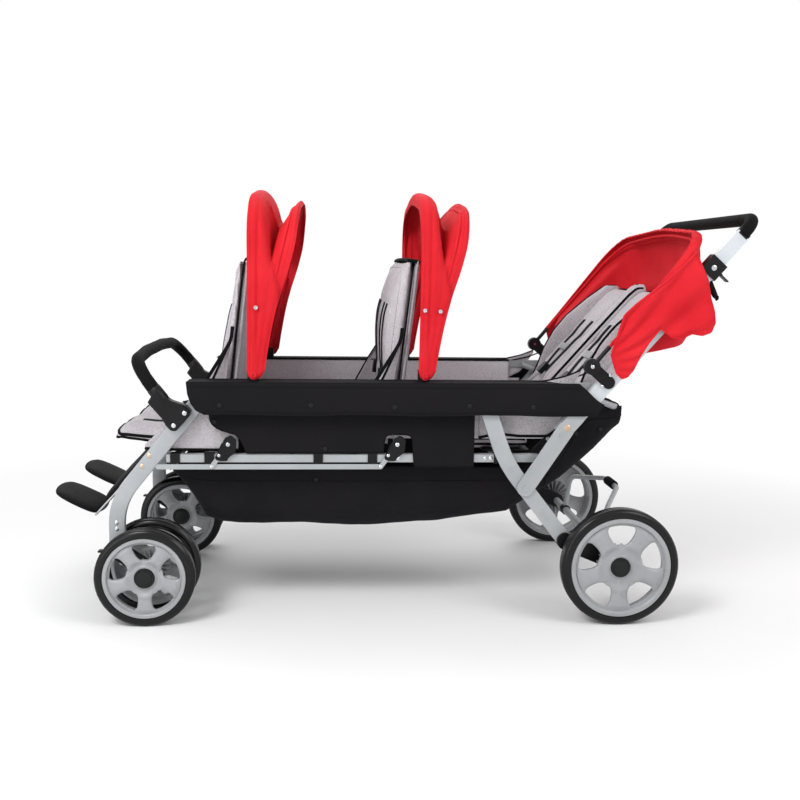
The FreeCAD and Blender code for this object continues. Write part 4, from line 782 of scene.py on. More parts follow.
@dataclass(frozen=True)
class Studio:
    """Camera at the photograph's angle, a pale floor and soft light."""

    place: Vector = vec(0.0, -2687.0, 910.0)
    yaw: float = 4.17
    pitch: float = 8.08
    roll: float = 0.83
    lens: float = 42.75
    lamps: tuple[tuple[Vector, Vector, float, float], ...] = (
        (vec(-1500, -2200, 2800), vec(0, 0, 400), 1200.0, 66.0),
        (vec(2300, -1900, 2300), vec(100, 0, 450), 1500.0, 30.0),
        (vec(-2300, -2900, 900), vec(0, 0, 450), 1800.0, 18.0),
        (vec(0, 1700, 3000), vec(0, 0, 500), 2600.0, 34.0),
    )

    def build(self) -> None:
        """Make the camera, the world, the lamps and the floor."""
        self._camera()
        self._world()
        for i, (place, aim, size, power) in enumerate(self.lamps):
            self._lamp(f"lamp_{i}", place, aim, size, power)
        self._floor()
        bpy.context.scene.view_settings.view_transform = "Standard"

    def _camera(self) -> None:
        """Stand the camera where the photograph was taken from."""
        yaw, pitch, roll = (math.radians(a) for a in (self.yaw, self.pitch, self.roll))
        view = vec(math.sin(yaw) * math.cos(pitch), math.cos(yaw) * math.cos(pitch),
                   -math.sin(pitch))
        right = vec(math.cos(yaw), -math.sin(yaw), 0)
        down = view.cross(right)
        across = right * math.cos(roll) - down * math.sin(roll)
        fall = right * math.sin(roll) + down * math.cos(roll)
        data = bpy.data.cameras.new("camera")
        data.lens = self.lens
        data.sensor_width = 36.0
        data.clip_start = 0.05
        camera = bpy.data.objects.new("camera", data)
        bpy.context.scene.collection.objects.link(camera)
        turn = Matrix((across, -fall, -view)).transposed().to_4x4()
        camera.matrix_world = Matrix.Translation(DATUM.out(self.place)) @ turn
        bpy.context.scene.camera = camera

    @staticmethod
    def _background_share(tree):
        """One where the camera, or a gloss or clear ray, looks."""
        path = tree.nodes.new("ShaderNodeLightPath")
        share = path.outputs["Is Camera Ray"]
        for ray in ("Is Glossy Ray", "Is Transmission Ray"):
            both_rays = tree.nodes.new("ShaderNodeMath")
            both_rays.operation = "MAXIMUM"
            tree.links.new(share, both_rays.inputs[0])
            tree.links.new(path.outputs[ray], both_rays.inputs[1])
            share = both_rays.outputs[0]
        return share

    def _world(self) -> None:
        """White to look at, softer as a light."""
        world = bpy.data.worlds.new("studio")
        world.use_nodes = True
        tree = world.node_tree
        light = tree.nodes["Background"]
        light.inputs["Color"].default_value = (1, 1, 1, 1)
        light.inputs["Strength"].default_value = 0.56
        seen = tree.nodes.new("ShaderNodeBackground")
        seen.inputs["Color"].default_value = (1, 1, 1, 1)
        seen.inputs["Strength"].default_value = 1.0
        blend = tree.nodes.new("ShaderNodeMixShader")
        tree.links.new(self._background_share(tree), blend.inputs["Fac"])
        tree.links.new(light.outputs[0], blend.inputs[1])
        tree.links.new(seen.outputs[0], blend.inputs[2])
        tree.links.new(blend.outputs[0], tree.nodes["World Output"].inputs["Surface"])
        bpy.context.scene.world = world

    @staticmethod
    def _lamp(name: str, place: Vector, aim: Vector, size: float, power: float) -> None:
        """Hang a large soft lamp.

        Args:
            name: Its name.
            place: Its place in millimetres.
            aim: What it looks at.
            size: Its width in millimetres.
            power: Its power in watts.
        """
        data = bpy.data.lights.new(name, "AREA")
        data.size = size * MM
        data.energy = power
        lamp = bpy.data.objects.new(name, data)
        bpy.context.scene.collection.objects.link(lamp)
        turn = (aim - place).to_track_quat("-Z", "Y").to_matrix().to_4x4()
        lamp.matrix_world = Matrix.Translation(DATUM.out(place)) @ turn

    def _floor(self) -> None:
        """Lay a pale floor that fades to white away from the stroller."""
        size = 9000.0
        corners = [vec(-size, -size, -0.4), vec(size, -size, -0.4), vec(size, size, -0.4),
                   vec(-size, size, -0.4)]
        data = bpy.data.meshes.new("floor")
        data.from_pydata([DATUM.out(c) for c in corners], [], [(0, 1, 2, 3)])
        floor = bpy.data.objects.new("floor", data)
        bpy.context.scene.collection.objects.link(floor)
        material = bpy.data.materials.new("studio_floor")
        material.use_nodes = True
        tree = material.node_tree
        shader = tree.nodes["Principled BSDF"]
        shader.inputs["Roughness"].default_value = 0.9
        shader.inputs["Specular IOR Level"].default_value = 0.1
        place = tree.nodes.new("ShaderNodeTexCoord").outputs["Object"]
        grain = tree.nodes.new("ShaderNodeTexNoise")
        grain.inputs["Scale"].default_value = 3.0
        tree.links.new(place, grain.inputs["Vector"])
        tint = tree.nodes.new("ShaderNodeValToRGB")
        tint.color_ramp.elements[0].color = (0.92, 0.92, 0.925, 1)
        tint.color_ramp.elements[1].color = (0.95, 0.95, 0.955, 1)
        tree.links.new(grain.outputs["Fac"], tint.inputs["Fac"])
        tree.links.new(tint.outputs["Color"], shader.inputs["Base Color"])
        reach = tree.nodes.new("ShaderNodeVectorMath")
        reach.operation = "LENGTH"
        tree.links.new(place, reach.inputs[0])
        fade = tree.nodes.new("ShaderNodeMapRange")
        fade.inputs["From Min"].default_value = 1.15
        fade.inputs["From Max"].default_value = 2.3
        tree.links.new(reach.outputs["Value"], fade.inputs["Value"])
        share = tree.nodes.new("ShaderNodeMath")
        share.operation = "MULTIPLY"
        tree.links.new(fade.outputs["Result"], share.inputs[0])
        tree.links.new(self._background_share(tree), share.inputs[1])
        white = tree.nodes.new("ShaderNodeEmission")
        white.inputs["Strength"].default_value = 1.0
        blend = tree.nodes.new("ShaderNodeMixShader")
        tree.links.new(share.outputs[0], blend.inputs["Fac"])
        tree.links.new(shader.outputs[0], blend.inputs[1])
        tree.links.new(white.outputs[0], blend.inputs[2])
        tree.links.new(blend.outputs[0], tree.nodes["Material Output"].inputs["Surface"])
        data.materials.append(material)


@dataclass
class Wheel:
    """One spoked wheel with a solid rubber tyre."""

    name: str
    body: str
    centre: Vector
    radius: float
    rim: float
    wide: float
    face: int
    count: int = 120

    def build(self) -> None:
        """Make the tyre, the rim with five spokes and the hub cap."""
        tyre = put(f"{self.name}_tyre", self._tyre(), RUBBER, self.body, "tyre_black")
        rim = put(f"{self.name}_rim", self._rim(), RIM, self.body, "rim_grey", 32.0)
        cap = put(f"{self.name}_cap", self._cap(), GLOSS_PLASTIC, self.body, "black_plastic")
        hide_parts(self.name.replace("wheel", "tyre"))
        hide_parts(self.name.replace("wheel", "rim"))
        LOG.info("wheel %s with cap %s", self.name, cap.name)

    def _tyre(self) -> Mesh:
        """Tyre with a rounded shoulder and fine tread grooves round it."""
        half, r, seat = self.wide / 2, self.radius, self.rim + 0.4
        edge = [(0.0, seat), (half * 0.86, seat), (half * 0.97, seat + 1.6), (half, seat + 5),
                (half * 0.985, r - 11), (half * 0.93, r - 6.5), (half * 0.82, r - 3.0),
                (half * 0.66, r - 1.2)]
        tread = []
        for spot in (0.56, 0.2):
            tread += [(half * spot + 1.7, r - 0.6), (half * spot + 0.8, r - 1.9),
                      (half * spot - 0.8, r - 1.9), (half * spot - 1.7, r - 0.1)]
        right = edge + tread + [(0.0, r)]
        profile = right + [(-y, z) for y, z in reversed(right[1:-1])]
        return lathe(self.centre, profile, self.count, closed=True)

    def _rim(self) -> Mesh:
        """Rim ring, dished web with five rounded windows, hub and ribs."""
        half, r, f = self.wide / 2, self.rim, self.face
        lip = r * 0.925
        deep = 14.0
        ring = [(f * (half - 1.0), r), (f * (half - 0.1), r - 0.9), (f * (half - 0.1), lip),
                (f * (half - 1.2), lip - 1.6), (f * (half - 5.5), r * 0.892),
                (f * (half - deep - 2), r * 0.868), (f * (half - deep - 12), r * 0.9),
                (-f * (half - deep + 2), r * 0.9), (-f * (half - 2.0), lip - 2.0),
                (-f * (half - 0.1), lip), (-f * (half - 0.1), r - 1.0), (-f * (half - 1.0), r)]
        parts = [lathe(self.centre, ring, self.count, closed=True), self._web(), self._hub()]
        for k in range(20):
            parts.append(self._rib(math.tau * (k + 0.5) / 20))
        return joined(*parts)

    def _spoke_half(self, r: float) -> float:
        """Half width of a spoke at a radius, in millimetres."""
        low, high = self.rim * 0.455, self.rim * 0.845
        near = math.exp(-max(0.0, r - low) / (self.rim * 0.045))
        far = math.exp(-max(0.0, high - r) / (self.rim * 0.05))
        flare = smooth((r - low) / (high - low))
        return self.rim * (0.158 + 0.028 * flare + 0.05 * near + 0.085 * far)

    def _web(self) -> Mesh:
        """Dished face between hub and ring, open in five windows."""
        rings = 34
        steps = 24
        inner, outer = self.rim * 0.30, self.rim * 0.885
        low, high = self.rim * 0.455, self.rim * 0.845
        half = self.wide / 2
        places: list[Vector] = []
        faces: list[tuple[int, ...]] = []
        lower: list[Vector] = []
        shape: dict[tuple[int, int, int], int] = {}
        for spoke in range(5):
            middle = math.radians(-90 + 72 * spoke)
            for i in range(rings + 1):
                r = mix(inner, outer, i / rings)
                for j in range(-steps, steps + 1):
                    share = j / steps
                    half_turn = math.radians(36)
                    edge = min(half_turn * 0.98, self._spoke_half(r) / r)
                    a = abs(share)
                    turn = edge * a / 0.6 if a <= 0.6 else mix(edge, half_turn, (a - 0.6) / 0.4)
                    turn = math.copysign(turn, share)
                    bulge = math.sqrt(max(0.0, 1 - (a / 0.6) ** 2))
                    rise = smooth((r / self.rim - 0.33) / 0.16)
                    rise *= 1 - 0.45 * smooth((r / self.rim - 0.78) / 0.1)
                    y = half - 9.5 + self.wide * 0.19 * bulge * rise
                    shape[(spoke, i, j)] = len(places)
                    angle = middle + turn
                    places.append(self.centre + vec(r * math.cos(angle), self.face * y,
                                                    r * math.sin(angle)))
                    lower.append(self.centre + vec(r * math.cos(angle), self.face * (y - 7.0),
                                                   r * math.sin(angle)))
            for i in range(rings):
                r = mix(inner, outer, (i + 0.5) / rings)
                for j in range(-steps, steps):
                    a = abs((j + 0.5) / steps)
                    if a > 0.6 and low < r < high:
                        continue
                    faces.append((shape[(spoke, i, j)], shape[(spoke, i + 1, j)],
                                  shape[(spoke, i + 1, j + 1)], shape[(spoke, i, j + 1)]))
        count = len(places)
        edges: dict[tuple[int, int], int] = {}
        welded: dict[tuple[int, int, int], int] = {}
        same = []
        for v in places:
            key = (round(v.x * 50), round(v.y * 50), round(v.z * 50))
            same.append(welded.setdefault(key, len(same)))
        for face in faces:
            loop = [same[k] for k in face]
            for a, b in zip(loop, loop[1:] + loop[:1]):
                edges[(a, b)] = edges.get((a, b), 0) + 1
        back = [tuple(k + count for k in reversed(face)) for face in faces]
        walls = []
        for face in faces:
            for a, b in zip(face, face[1:] + face[:1]):
                if (same[b], same[a]) not in edges:
                    walls.append((b, a, a + count, b + count))
        return places + lower, faces + back + walls

    def _hub(self) -> Mesh:
        """Raised hub disc in front and the hub tube behind."""
        half, r, f = self.wide / 2, self.rim, self.face
        edge = self.rim * 0.44
        profile = [(f * (half - 8.0), 0.5), (f * (half - 8.0), 30.0), (f * (half - 9.6), 32.0),
                   (f * (half - 9.6), edge - 1.5), (f * (half - 10.4), edge), (f * (half - 16.0), edge),
                   (f * (half - 17.0), edge - 4.0), (f * (half - 17.0), 22.0),
                   (-f * (half - 1.0), 20.0), (-f * (half - 1.0), 0.5)]
        return lathe(self.centre, profile, self.count // 2)

    def _rib(self, turn: float) -> Mesh:
        """Thin stiffening rib on the inner side of the ring's floor."""
        run = vec(math.cos(turn), 0, math.sin(turn))
        side = vec(-math.sin(turn), 0, math.cos(turn))
        f, half = self.face, self.wide / 2
        line = [self.centre + run * r + vec(0, -f * 6.0, 0) for r in (20.0, self.rim * 0.43)]
        return sweep(line, box_section(2.2, 2 * (half - 11), 0.8, 1), side)

    def _cap(self) -> Mesh:
        """Domed hub cap with a shallow rim."""
        out = self.face * (self.wide / 2 - 8.4)
        tall = self.face * 7.6
        profile = [(out, 26.0), (out + tall * 0.45, 25.6), (out + tall * 0.72, 24.2),
                   (out + tall * 0.66, 20.6), (out + tall * 0.92, 19.2), (out + tall * 1.05, 10.0),
                   (out + tall * 1.08, 0.0)]
        return lathe(self.centre, profile, 40)


@dataclass
class Wheels:
    """Two large rear wheels and four small caster wheels."""

    rear: Vector = vec(740.0, 371.5, 152.0)
    front: Vector = vec(-465.0, 346.0, 125.0)
    inner: float = 246.0

    def build(self) -> None:
        """Make all six wheels, the casters' cloth-free parts keep their solids."""
        for side in SIDES:
            word = SIDE_NAME[side]
            Wheel(f"rear_wheel_{word}", f"rear_wheel_{word}",
                  vec(self.rear.x, side * self.rear.y, self.rear.z), 152.0, 129.0, 45.0,
                  side).build()
            for row, y in (("outer", self.front.y), ("inner", self.inner)):
                Wheel(f"front_wheel_{word}_{row}", f"front_wheel_{word}_{row}",
                      vec(self.front.x, side * y, self.front.z), 125.0, 103.0, 40.0,
                      side if row == "outer" else -side, 96).build()


@dataclass
class Coats:
    """Finishes of the solids that keep their own shape."""

    finishes: dict[str, Finish] = field(default_factory=lambda: {
        "top_rails": STEEL, "seat_rails": STEEL, "cross_tubes": STEEL,
        "rail_fittings": PLASTIC, "canopy_brackets": PLASTIC, "seat_boards": PLASTIC,
        "basket_hoop": STEEL, "rear_legs": STEEL, "rear_axle": STEEL, "axle_brackets": PLASTIC,
        "push_tubes": PALE_STEEL, "fold_plates": STEEL, "handle_clamps": PLASTIC,
        "rear_canopy_brackets": PLASTIC, "handle_bar": PALE_STEEL, "back_hoop": STEEL,
        "rear_canopy_bow": RED, "link_bars": STEEL, "front_canopy_rear_bow": RED,
        "front_canopy_front_bow": RED, "middle_canopy_rear_bow": RED,
        "middle_canopy_front_bow": RED, "caster_fork_left": PLASTIC,
        "caster_fork_right": PLASTIC, "caster_tab_left": GLOSS_PLASTIC,
        "caster_tab_right": GLOSS_PLASTIC, "clamp_lever_left": GLOSS_PLASTIC,
        "clamp_lever_right": GLOSS_PLASTIC,
    })

    def build(self, nodes: dict[str, bpy.types.Object]) -> None:
        """Dress every solid that stays.

        Args:
            nodes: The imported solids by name.
        """
        for name, finish in self.finishes.items():
            data = nodes[name].data
            data.materials.clear()
            data.materials.append(finish.material())
            LOG.info("dressed %s in %s", name, finish.name)


@dataclass
class GrabBar:
    """Foam covered bar across the front, held by moulded mounts."""

    half: float = 323.5
    radius: float = 16.5
    foot: tuple[float, float] = (-394.0, 541.0)
    top: tuple[float, float] = (-486.0, 662.0)
    bend: float = 84.0
    arch: float = 11.0
    mount: tuple[tuple[float, float], tuple[float, float]] = ((-389.0, 509.0), (-362.0, 540.0))

    def build(self) -> None:
        """Make the bar, its seam rings and its mounts."""
        corners = [vec(self.foot[0], -self.half, self.foot[1]),
                   vec(self.top[0], -self.half, self.top[1]),
                   vec(self.top[0] - self.arch * 0.6, -110, self.top[1] + self.arch),
                   vec(self.top[0] - self.arch * 0.6, 110, self.top[1] + self.arch),
                   vec(self.top[0], self.half, self.top[1]),
                   vec(self.foot[0], self.half, self.foot[1])]
        line = even(rounded(corners, [self.bend, 700, 700, self.bend], 14), 170)
        total = sum((b - a).length for a, b in zip(line, line[1:]))

        def section(share: float) -> Section:
            """Foam that narrows in a fine ring at each sleeve's edge."""
            at = min(share, 1 - share) * total
            if at < 66:
                return circle(14.2, 20)
            dent = sum(1.5 * math.exp(-((at - s) / 2.2) ** 2) for s in (62, 108, 182))
            return circle(self.radius - dent - 0.25 + 0.25 * math.sin(at / 23), 20)

        bar = put("grab_bar_foam", sweep(line, section, vec(1, 0, 0)), FOAM, "frame", "foam_black")
        mounts = put("grab_bar_clamps", both(self._mount()), PLASTIC, "frame", "black_plastic")
        heads = [dome(vec(x, -338.3, z), 5.6, -1, 1.6) for x, z in self.mount]
        put("grab_bar_screws", both(joined(*heads)), BRIGHT, "frame", "rivet_steel")
        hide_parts("grab_bar")
        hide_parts("grab_bar_mounts")

    def _mount(self) -> Mesh:
        """Flared mount of the near side: the sleeve widens into a flange for two screws."""
        flange = [(-452.0, 566.0), (-418.0, 526.0), (-408.0, 508.0), (-396.0, 495.0), (-383.0, 495.0),
                  (-350.0, 533.0), (-348.0, 546.0), (-363.0, 560.0), (-397.0, 571.0),
                  (-430.0, 602.0)]
        body = plate(flange, -338.4, 32.0, [5, 26, 16, 9, 10, 9, 9, 16, 40, 5], 3.6)
        start = vec(self.foot[0], -self.half, self.foot[1])
        run = (vec(self.top[0], -self.half, self.top[1]) - start).normalized()
        line = [start + run * s for s in (18.0, 40.0, 58.0, 74.0, 76.0)]
        sizes = (14.6, 17.6, 17.6, 17.1, 15.5)

        def section(share: float) -> Section:
            """Sleeve that narrows towards the foam."""
            return circle(sizes[round(share * 4)], 24)

        return joined(body, sweep(line, section, vec(0, 1, 0)))


@dataclass
class HandleGrip:
    """Foam grip of the push handle with smooth elbow sleeves."""

    hinge: tuple[float, float] = (600.0, 505.0)
    angle: float = 48.8
    foot: float = 656.8
    corner: float = 708.5
    half: float = 324.5
    radius: float = 16.5
    bend: float = 44.0

    def along(self, length: float, out: float = 0.0) -> tuple[float, float]:
        """Place along the push tubes' line, and square to it."""
        spot = vec(self.hinge[0], 0, self.hinge[1]) + unit(self.angle) * length \
            + unit(self.angle + 90) * out
        return spot.x, spot.z

    def build(self) -> None:
        """Make the grip and the small parts of the push bar."""
        low, high = self.along(self.foot), self.along(self.corner)
        corners = [vec(low[0], -self.half, low[1]), vec(high[0], -self.half, high[1]),
                   vec(high[0], self.half, high[1]), vec(low[0], self.half, low[1])]
        line = even(rounded(corners, self.bend, 14), 180)
        total = sum((b - a).length for a, b in zip(line, line[1:]))

        def section(share: float) -> Section:
            """Ribbed foam between two smooth sleeves."""
            at = min(share, 1 - share) * total
            dent = 1.6 * math.exp(-((at - 108) / 2.4) ** 2)
            return circle(self.radius - dent - 0.2, 22)

        grip = put("handle_foam", sweep(line, section, unit(self.angle)), FOAM, "handle", "foam_black")
        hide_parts("handle_grip")
        self._sleeves()
        self._clamp_parts()

    def _sleeves(self) -> None:
        """Moulded sleeves where the handle arms enter the grip."""
        line = [vec(*self._flat(self.foot - 6, -self.half)), vec(*self._flat(self.foot + 8, -self.half))]
        ring = sweep(line, box_section(36.5, 17.5, 7.5, 4), unit(self.angle + 90))
        put("handle_sleeves", both(ring), GLOSS_PLASTIC, "handle", "black_plastic")
        rings = []
        for length in (589.0, 634.0):
            x, z = self.along(length, 2.0)
            rings.append(lathe(vec(x, -332.2, z), [(0.2, 5.4), (-0.05, 5.2), (-0.08, 3.4), (-0.03, 2.8),
                                                   (-0.03, 0.0)], 20))
        put("handle_eyelets", both(joined(*rings)), COPPER, "handle", "rivet_steel")

    def _flat(self, length: float, y: float) -> tuple[float, float, float]:
        """Place along the push tubes' line at a side."""
        x, z = self.along(length)
        return x, y, z

    def _clamp_parts(self) -> None:
        """Rivet on each clamp, and the strap loop that hangs from it."""
        x, z = self.along(544.0, 0.0)
        head = dome(vec(x, -338.2, z), 7.0, -1, 1.4)
        put("clamp_rivets", both(head), BRIGHT, "push_bar", "rivet_steel")
        points = [vec(949, -331, 893), vec(956, -336, 872), vec(967, -336.5, 848),
                  vec(972, -334, 838), vec(969, -330, 834), vec(963, -329, 846),
                  vec(951, -329.5, 871), vec(944, -330, 890)]
        strap = ribbon(even(rounded(points, 9, 4), 40), 9.0, 1.6, unit(self.angle - 20))
        put("pull_strap", both(strap), WEBBING, "push_bar", "black_fabric")


@dataclass
class BrakeBar:
    """Foot brake of the rear axle with its ribbed tread."""

    axle: tuple[float, float] = (740.0, 152.0)
    knee: tuple[float, float] = (753.0, 258.0)
    out: tuple[float, float] = (822.0, 284.0)
    arm_y: float = 200.0
    cross_y: float = 60.0

    def build(self) -> None:
        """Make the bar, its collars and the tread."""
        root = vec(self.axle[0], 0, self.axle[1]) + (vec(self.knee[0] - self.axle[0], 0,
                                                        self.knee[1] - self.axle[1])).normalized() * 12
        corners = [root + vec(0, -self.arm_y, 0), vec(self.knee[0], -self.arm_y, self.knee[1]),
                   vec(self.out[0], -self.cross_y, self.out[1]),
                   vec(self.out[0], self.cross_y, self.out[1]),
                   vec(self.knee[0], self.arm_y, self.knee[1]), root + vec(0, self.arm_y, 0)]
        bar = put("brake_tube", tube(rounded(corners, 30.0, 8), 7.0, 16), STEEL, "brake",
                  "steel_grey")
        collar = [(-13.0, 11.6), (-13.0, 14.4), (-12.2, 15.0), (12.2, 15.0), (13.0, 14.4),
                  (13.0, 11.6)]
        collars = [lathe(vec(self.axle[0], side * self.arm_y, self.axle[1]), collar, 32, closed=True)
                   for side in SIDES]
        put("brake_collars", joined(*collars), PLASTIC, "brake", "black_plastic")
        ribs = [(-33.0, 7.2), (-33.0, 11.2), (-31.5, 12.9)]
        for k in range(9):
            start = -29.5 + k * 6.6
            ribs += [(start, 12.9), (start + 0.9, 11.2), (start + 2.0, 11.2), (start + 2.9, 12.9)]
        ribs += [(31.5, 12.9), (33.0, 11.2), (33.0, 7.2)]
        tread = put("brake_tread", lathe(vec(self.out[0], 0, self.out[1]), ribs, 36), FOAM, "brake",
                    "foam_black")
        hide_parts("brake_bar")
        LOG.info("brake tread %s", tread.name)


@dataclass
class Fasteners:
    """Domed rivets and screws where the source has its plain heads."""

    bright: tuple[tuple[float, float, float, float], ...] = ()
    copper: tuple[tuple[float, float, float, float], ...] = ()

    def build(self) -> None:
        """Make the heads on both sides."""
        for name, spots, finish in (("bright_heads", self.bright, BRIGHT),
                                    ("copper_heads", self.copper, COPPER)):
            heads = [dome(vec(x, -face, z), radius, -1, 2.0) for x, z, face, radius in spots]
            piece = put(name, both(joined(*heads)), finish, "frame", "rivet_steel")
            if finish is BRIGHT:
                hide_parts("frame_rivets")


@dataclass
class FrontLegs:
    """Flat front legs that bend in a wide curve over the casters."""

    line: Outline = field(default_factory=lambda: [(-541.0, 208.0), (-541.0, 306.0), (-318.0, 583.0)])
    radius: float = 165.0

    def build(self) -> None:
        """Make both legs."""
        line = rounded([vec(x, -296.0, z) for x, z in self.line], self.radius, 22)
        legs = put("front_leg_bars", both(sweep(line, box_section(40.0, 20.0, 3.0, 4), vec(1, 0, 0))),
                   STEEL, "frame", "steel_grey")
        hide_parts("front_legs")


@dataclass(frozen=True)
class PadShape:
    """A crowned pad between two faces, with its sewn channels.

    `low` and `high` are how far the two faces stand from the seam's plane, `channels` are the
    places along the width where a seam pulls the cover in, in millimetres.
    """

    middle: Vector
    run: Vector
    face: Vector
    long: float
    wide: float
    low: float
    high: float
    power: float = 7.0
    waist: float = 3.0
    channels: tuple[float, ...] = (0.0,)
    cross_channels: tuple[float, ...] = ()
    depth: float = 5.0
    taper: float = 0.0
    lobes: float = 0.0
    rise: Callable[[float], tuple[float, float]] | None = None

    def edge(self, u: float, w: float) -> float:
        """Share of the full thickness at two shares from -1 to 1."""
        a = max(0.0, 1 - abs(u) ** self.power) ** 0.5
        b = max(0.0, 1 - abs(w) ** (self.power * 1.5)) ** 0.5
        return a * b

    def place(self, s: float, t: float, top: bool) -> Vector:
        """Place on one face at two shares from -1 to 1."""
        u = math.sin(s * math.pi / 2)
        w = math.sin(t * math.pi / 2)
        across = w * self.wide / 2 * (1 - self.taper * (u + 1) / 2)
        pull = self.waist * (1 - u * u) * abs(w) ** 3 * (1 if w > 0 else -1)
        ends = self.waist * (1 - w * w) * abs(u) ** 3 * (1 if u > 0 else -1)
        spread = self.wide / 4
        ends += self.lobes * smooth(-u) * (1 - min(1.0, ((abs(across) - spread) / spread) ** 2) ** 1.5)
        height = self.high if top else -self.low
        groove = 0.0
        for spot in self.channels:
            groove += math.exp(-((across - spot) / 7.0) ** 2)
        for spot in self.cross_channels:
            groove += math.exp(-((u * self.long / 2 - spot) / 7.0) ** 2)
        amount = self.edge(u, w) * height
        crown = 0.82 + 0.18 * (1 - u * u) * (1 - w * w)
        if top:
            amount = amount * crown - min(1.0, groove) * self.depth * self.edge(u, w)
            spot = vec(u * self.long / 2, across, 0)
            amount += self.edge(u, w) * 0.9 * ripple(spot, 42.0, self.long)
        if self.rise:
            low, high = self.rise(u)
            amount = amount + (high if top else low) * self.edge(u, w)
        return self.middle + self.run * (u * self.long / 2 - ends) + vec(0, across - pull, 0) \
            + self.face * amount

    def mesh(self, along: int = 34, across: int = 56) -> Mesh:
        """Both faces, joined at the rim."""
        top = grid(lambda a, b: self.place(a * 2 - 1, b * 2 - 1, True), along, across)
        low = grid(lambda a, b: self.place(a * 2 - 1, b * 2 - 1, False), along, across)
        return joined(top, (low[0], [tuple(reversed(f)) for f in low[1]]))

    def rim(self, grow: float = 0.0, count: int = 160) -> Line:
        """Closed line round the pad in its seam's plane."""
        line = []
        for i in range(count):
            turn = math.tau * i / count
            c, s = math.cos(turn), math.sin(turn)
            size = (abs(c) ** 9 + abs(s) ** 9) ** (-1 / 9)
            u, w = c * size, s * size
            pull = self.waist * (1 - min(1, u * u)) * abs(w) ** 3 * (1 if w > 0 else -1)
            ends = self.waist * (1 - min(1, w * w)) * abs(u) ** 3 * (1 if u > 0 else -1)
            line.append(self.middle + self.run * (u * (self.long / 2 + grow) - ends)
                        + vec(0, w * (self.wide / 2 + grow) * (1 - self.taper * (u + 1) / 2) - pull,
                              0))
        return line


def ring(line: Line, radius: float, count: int = 10) -> Mesh:
    """Round bar along a closed line."""
    places: list[Vector] = []
    faces: list[tuple[int, ...]] = []
    total = len(line)
    centre = sum(line, vec(0, 0, 0)) / total
    flat = (line[total // 4] - centre).cross(line[0] - centre).normalized()
    for i, point in enumerate(line):
        run = (line[(i + 1) % total] - line[i - 1]).normalized()
        out = run.cross(flat).normalized()
        for k in range(count):
            turn = math.tau * k / count
            places.append(point + out * radius * math.cos(turn) + flat * radius * math.sin(turn))
    for i in range(total):
        a, b = i * count, ((i + 1) % total) * count
        for k in range(count):
            j = (k + 1) % count
            faces.append((a + k, a + j, b + j, b + k))
    return places, faces


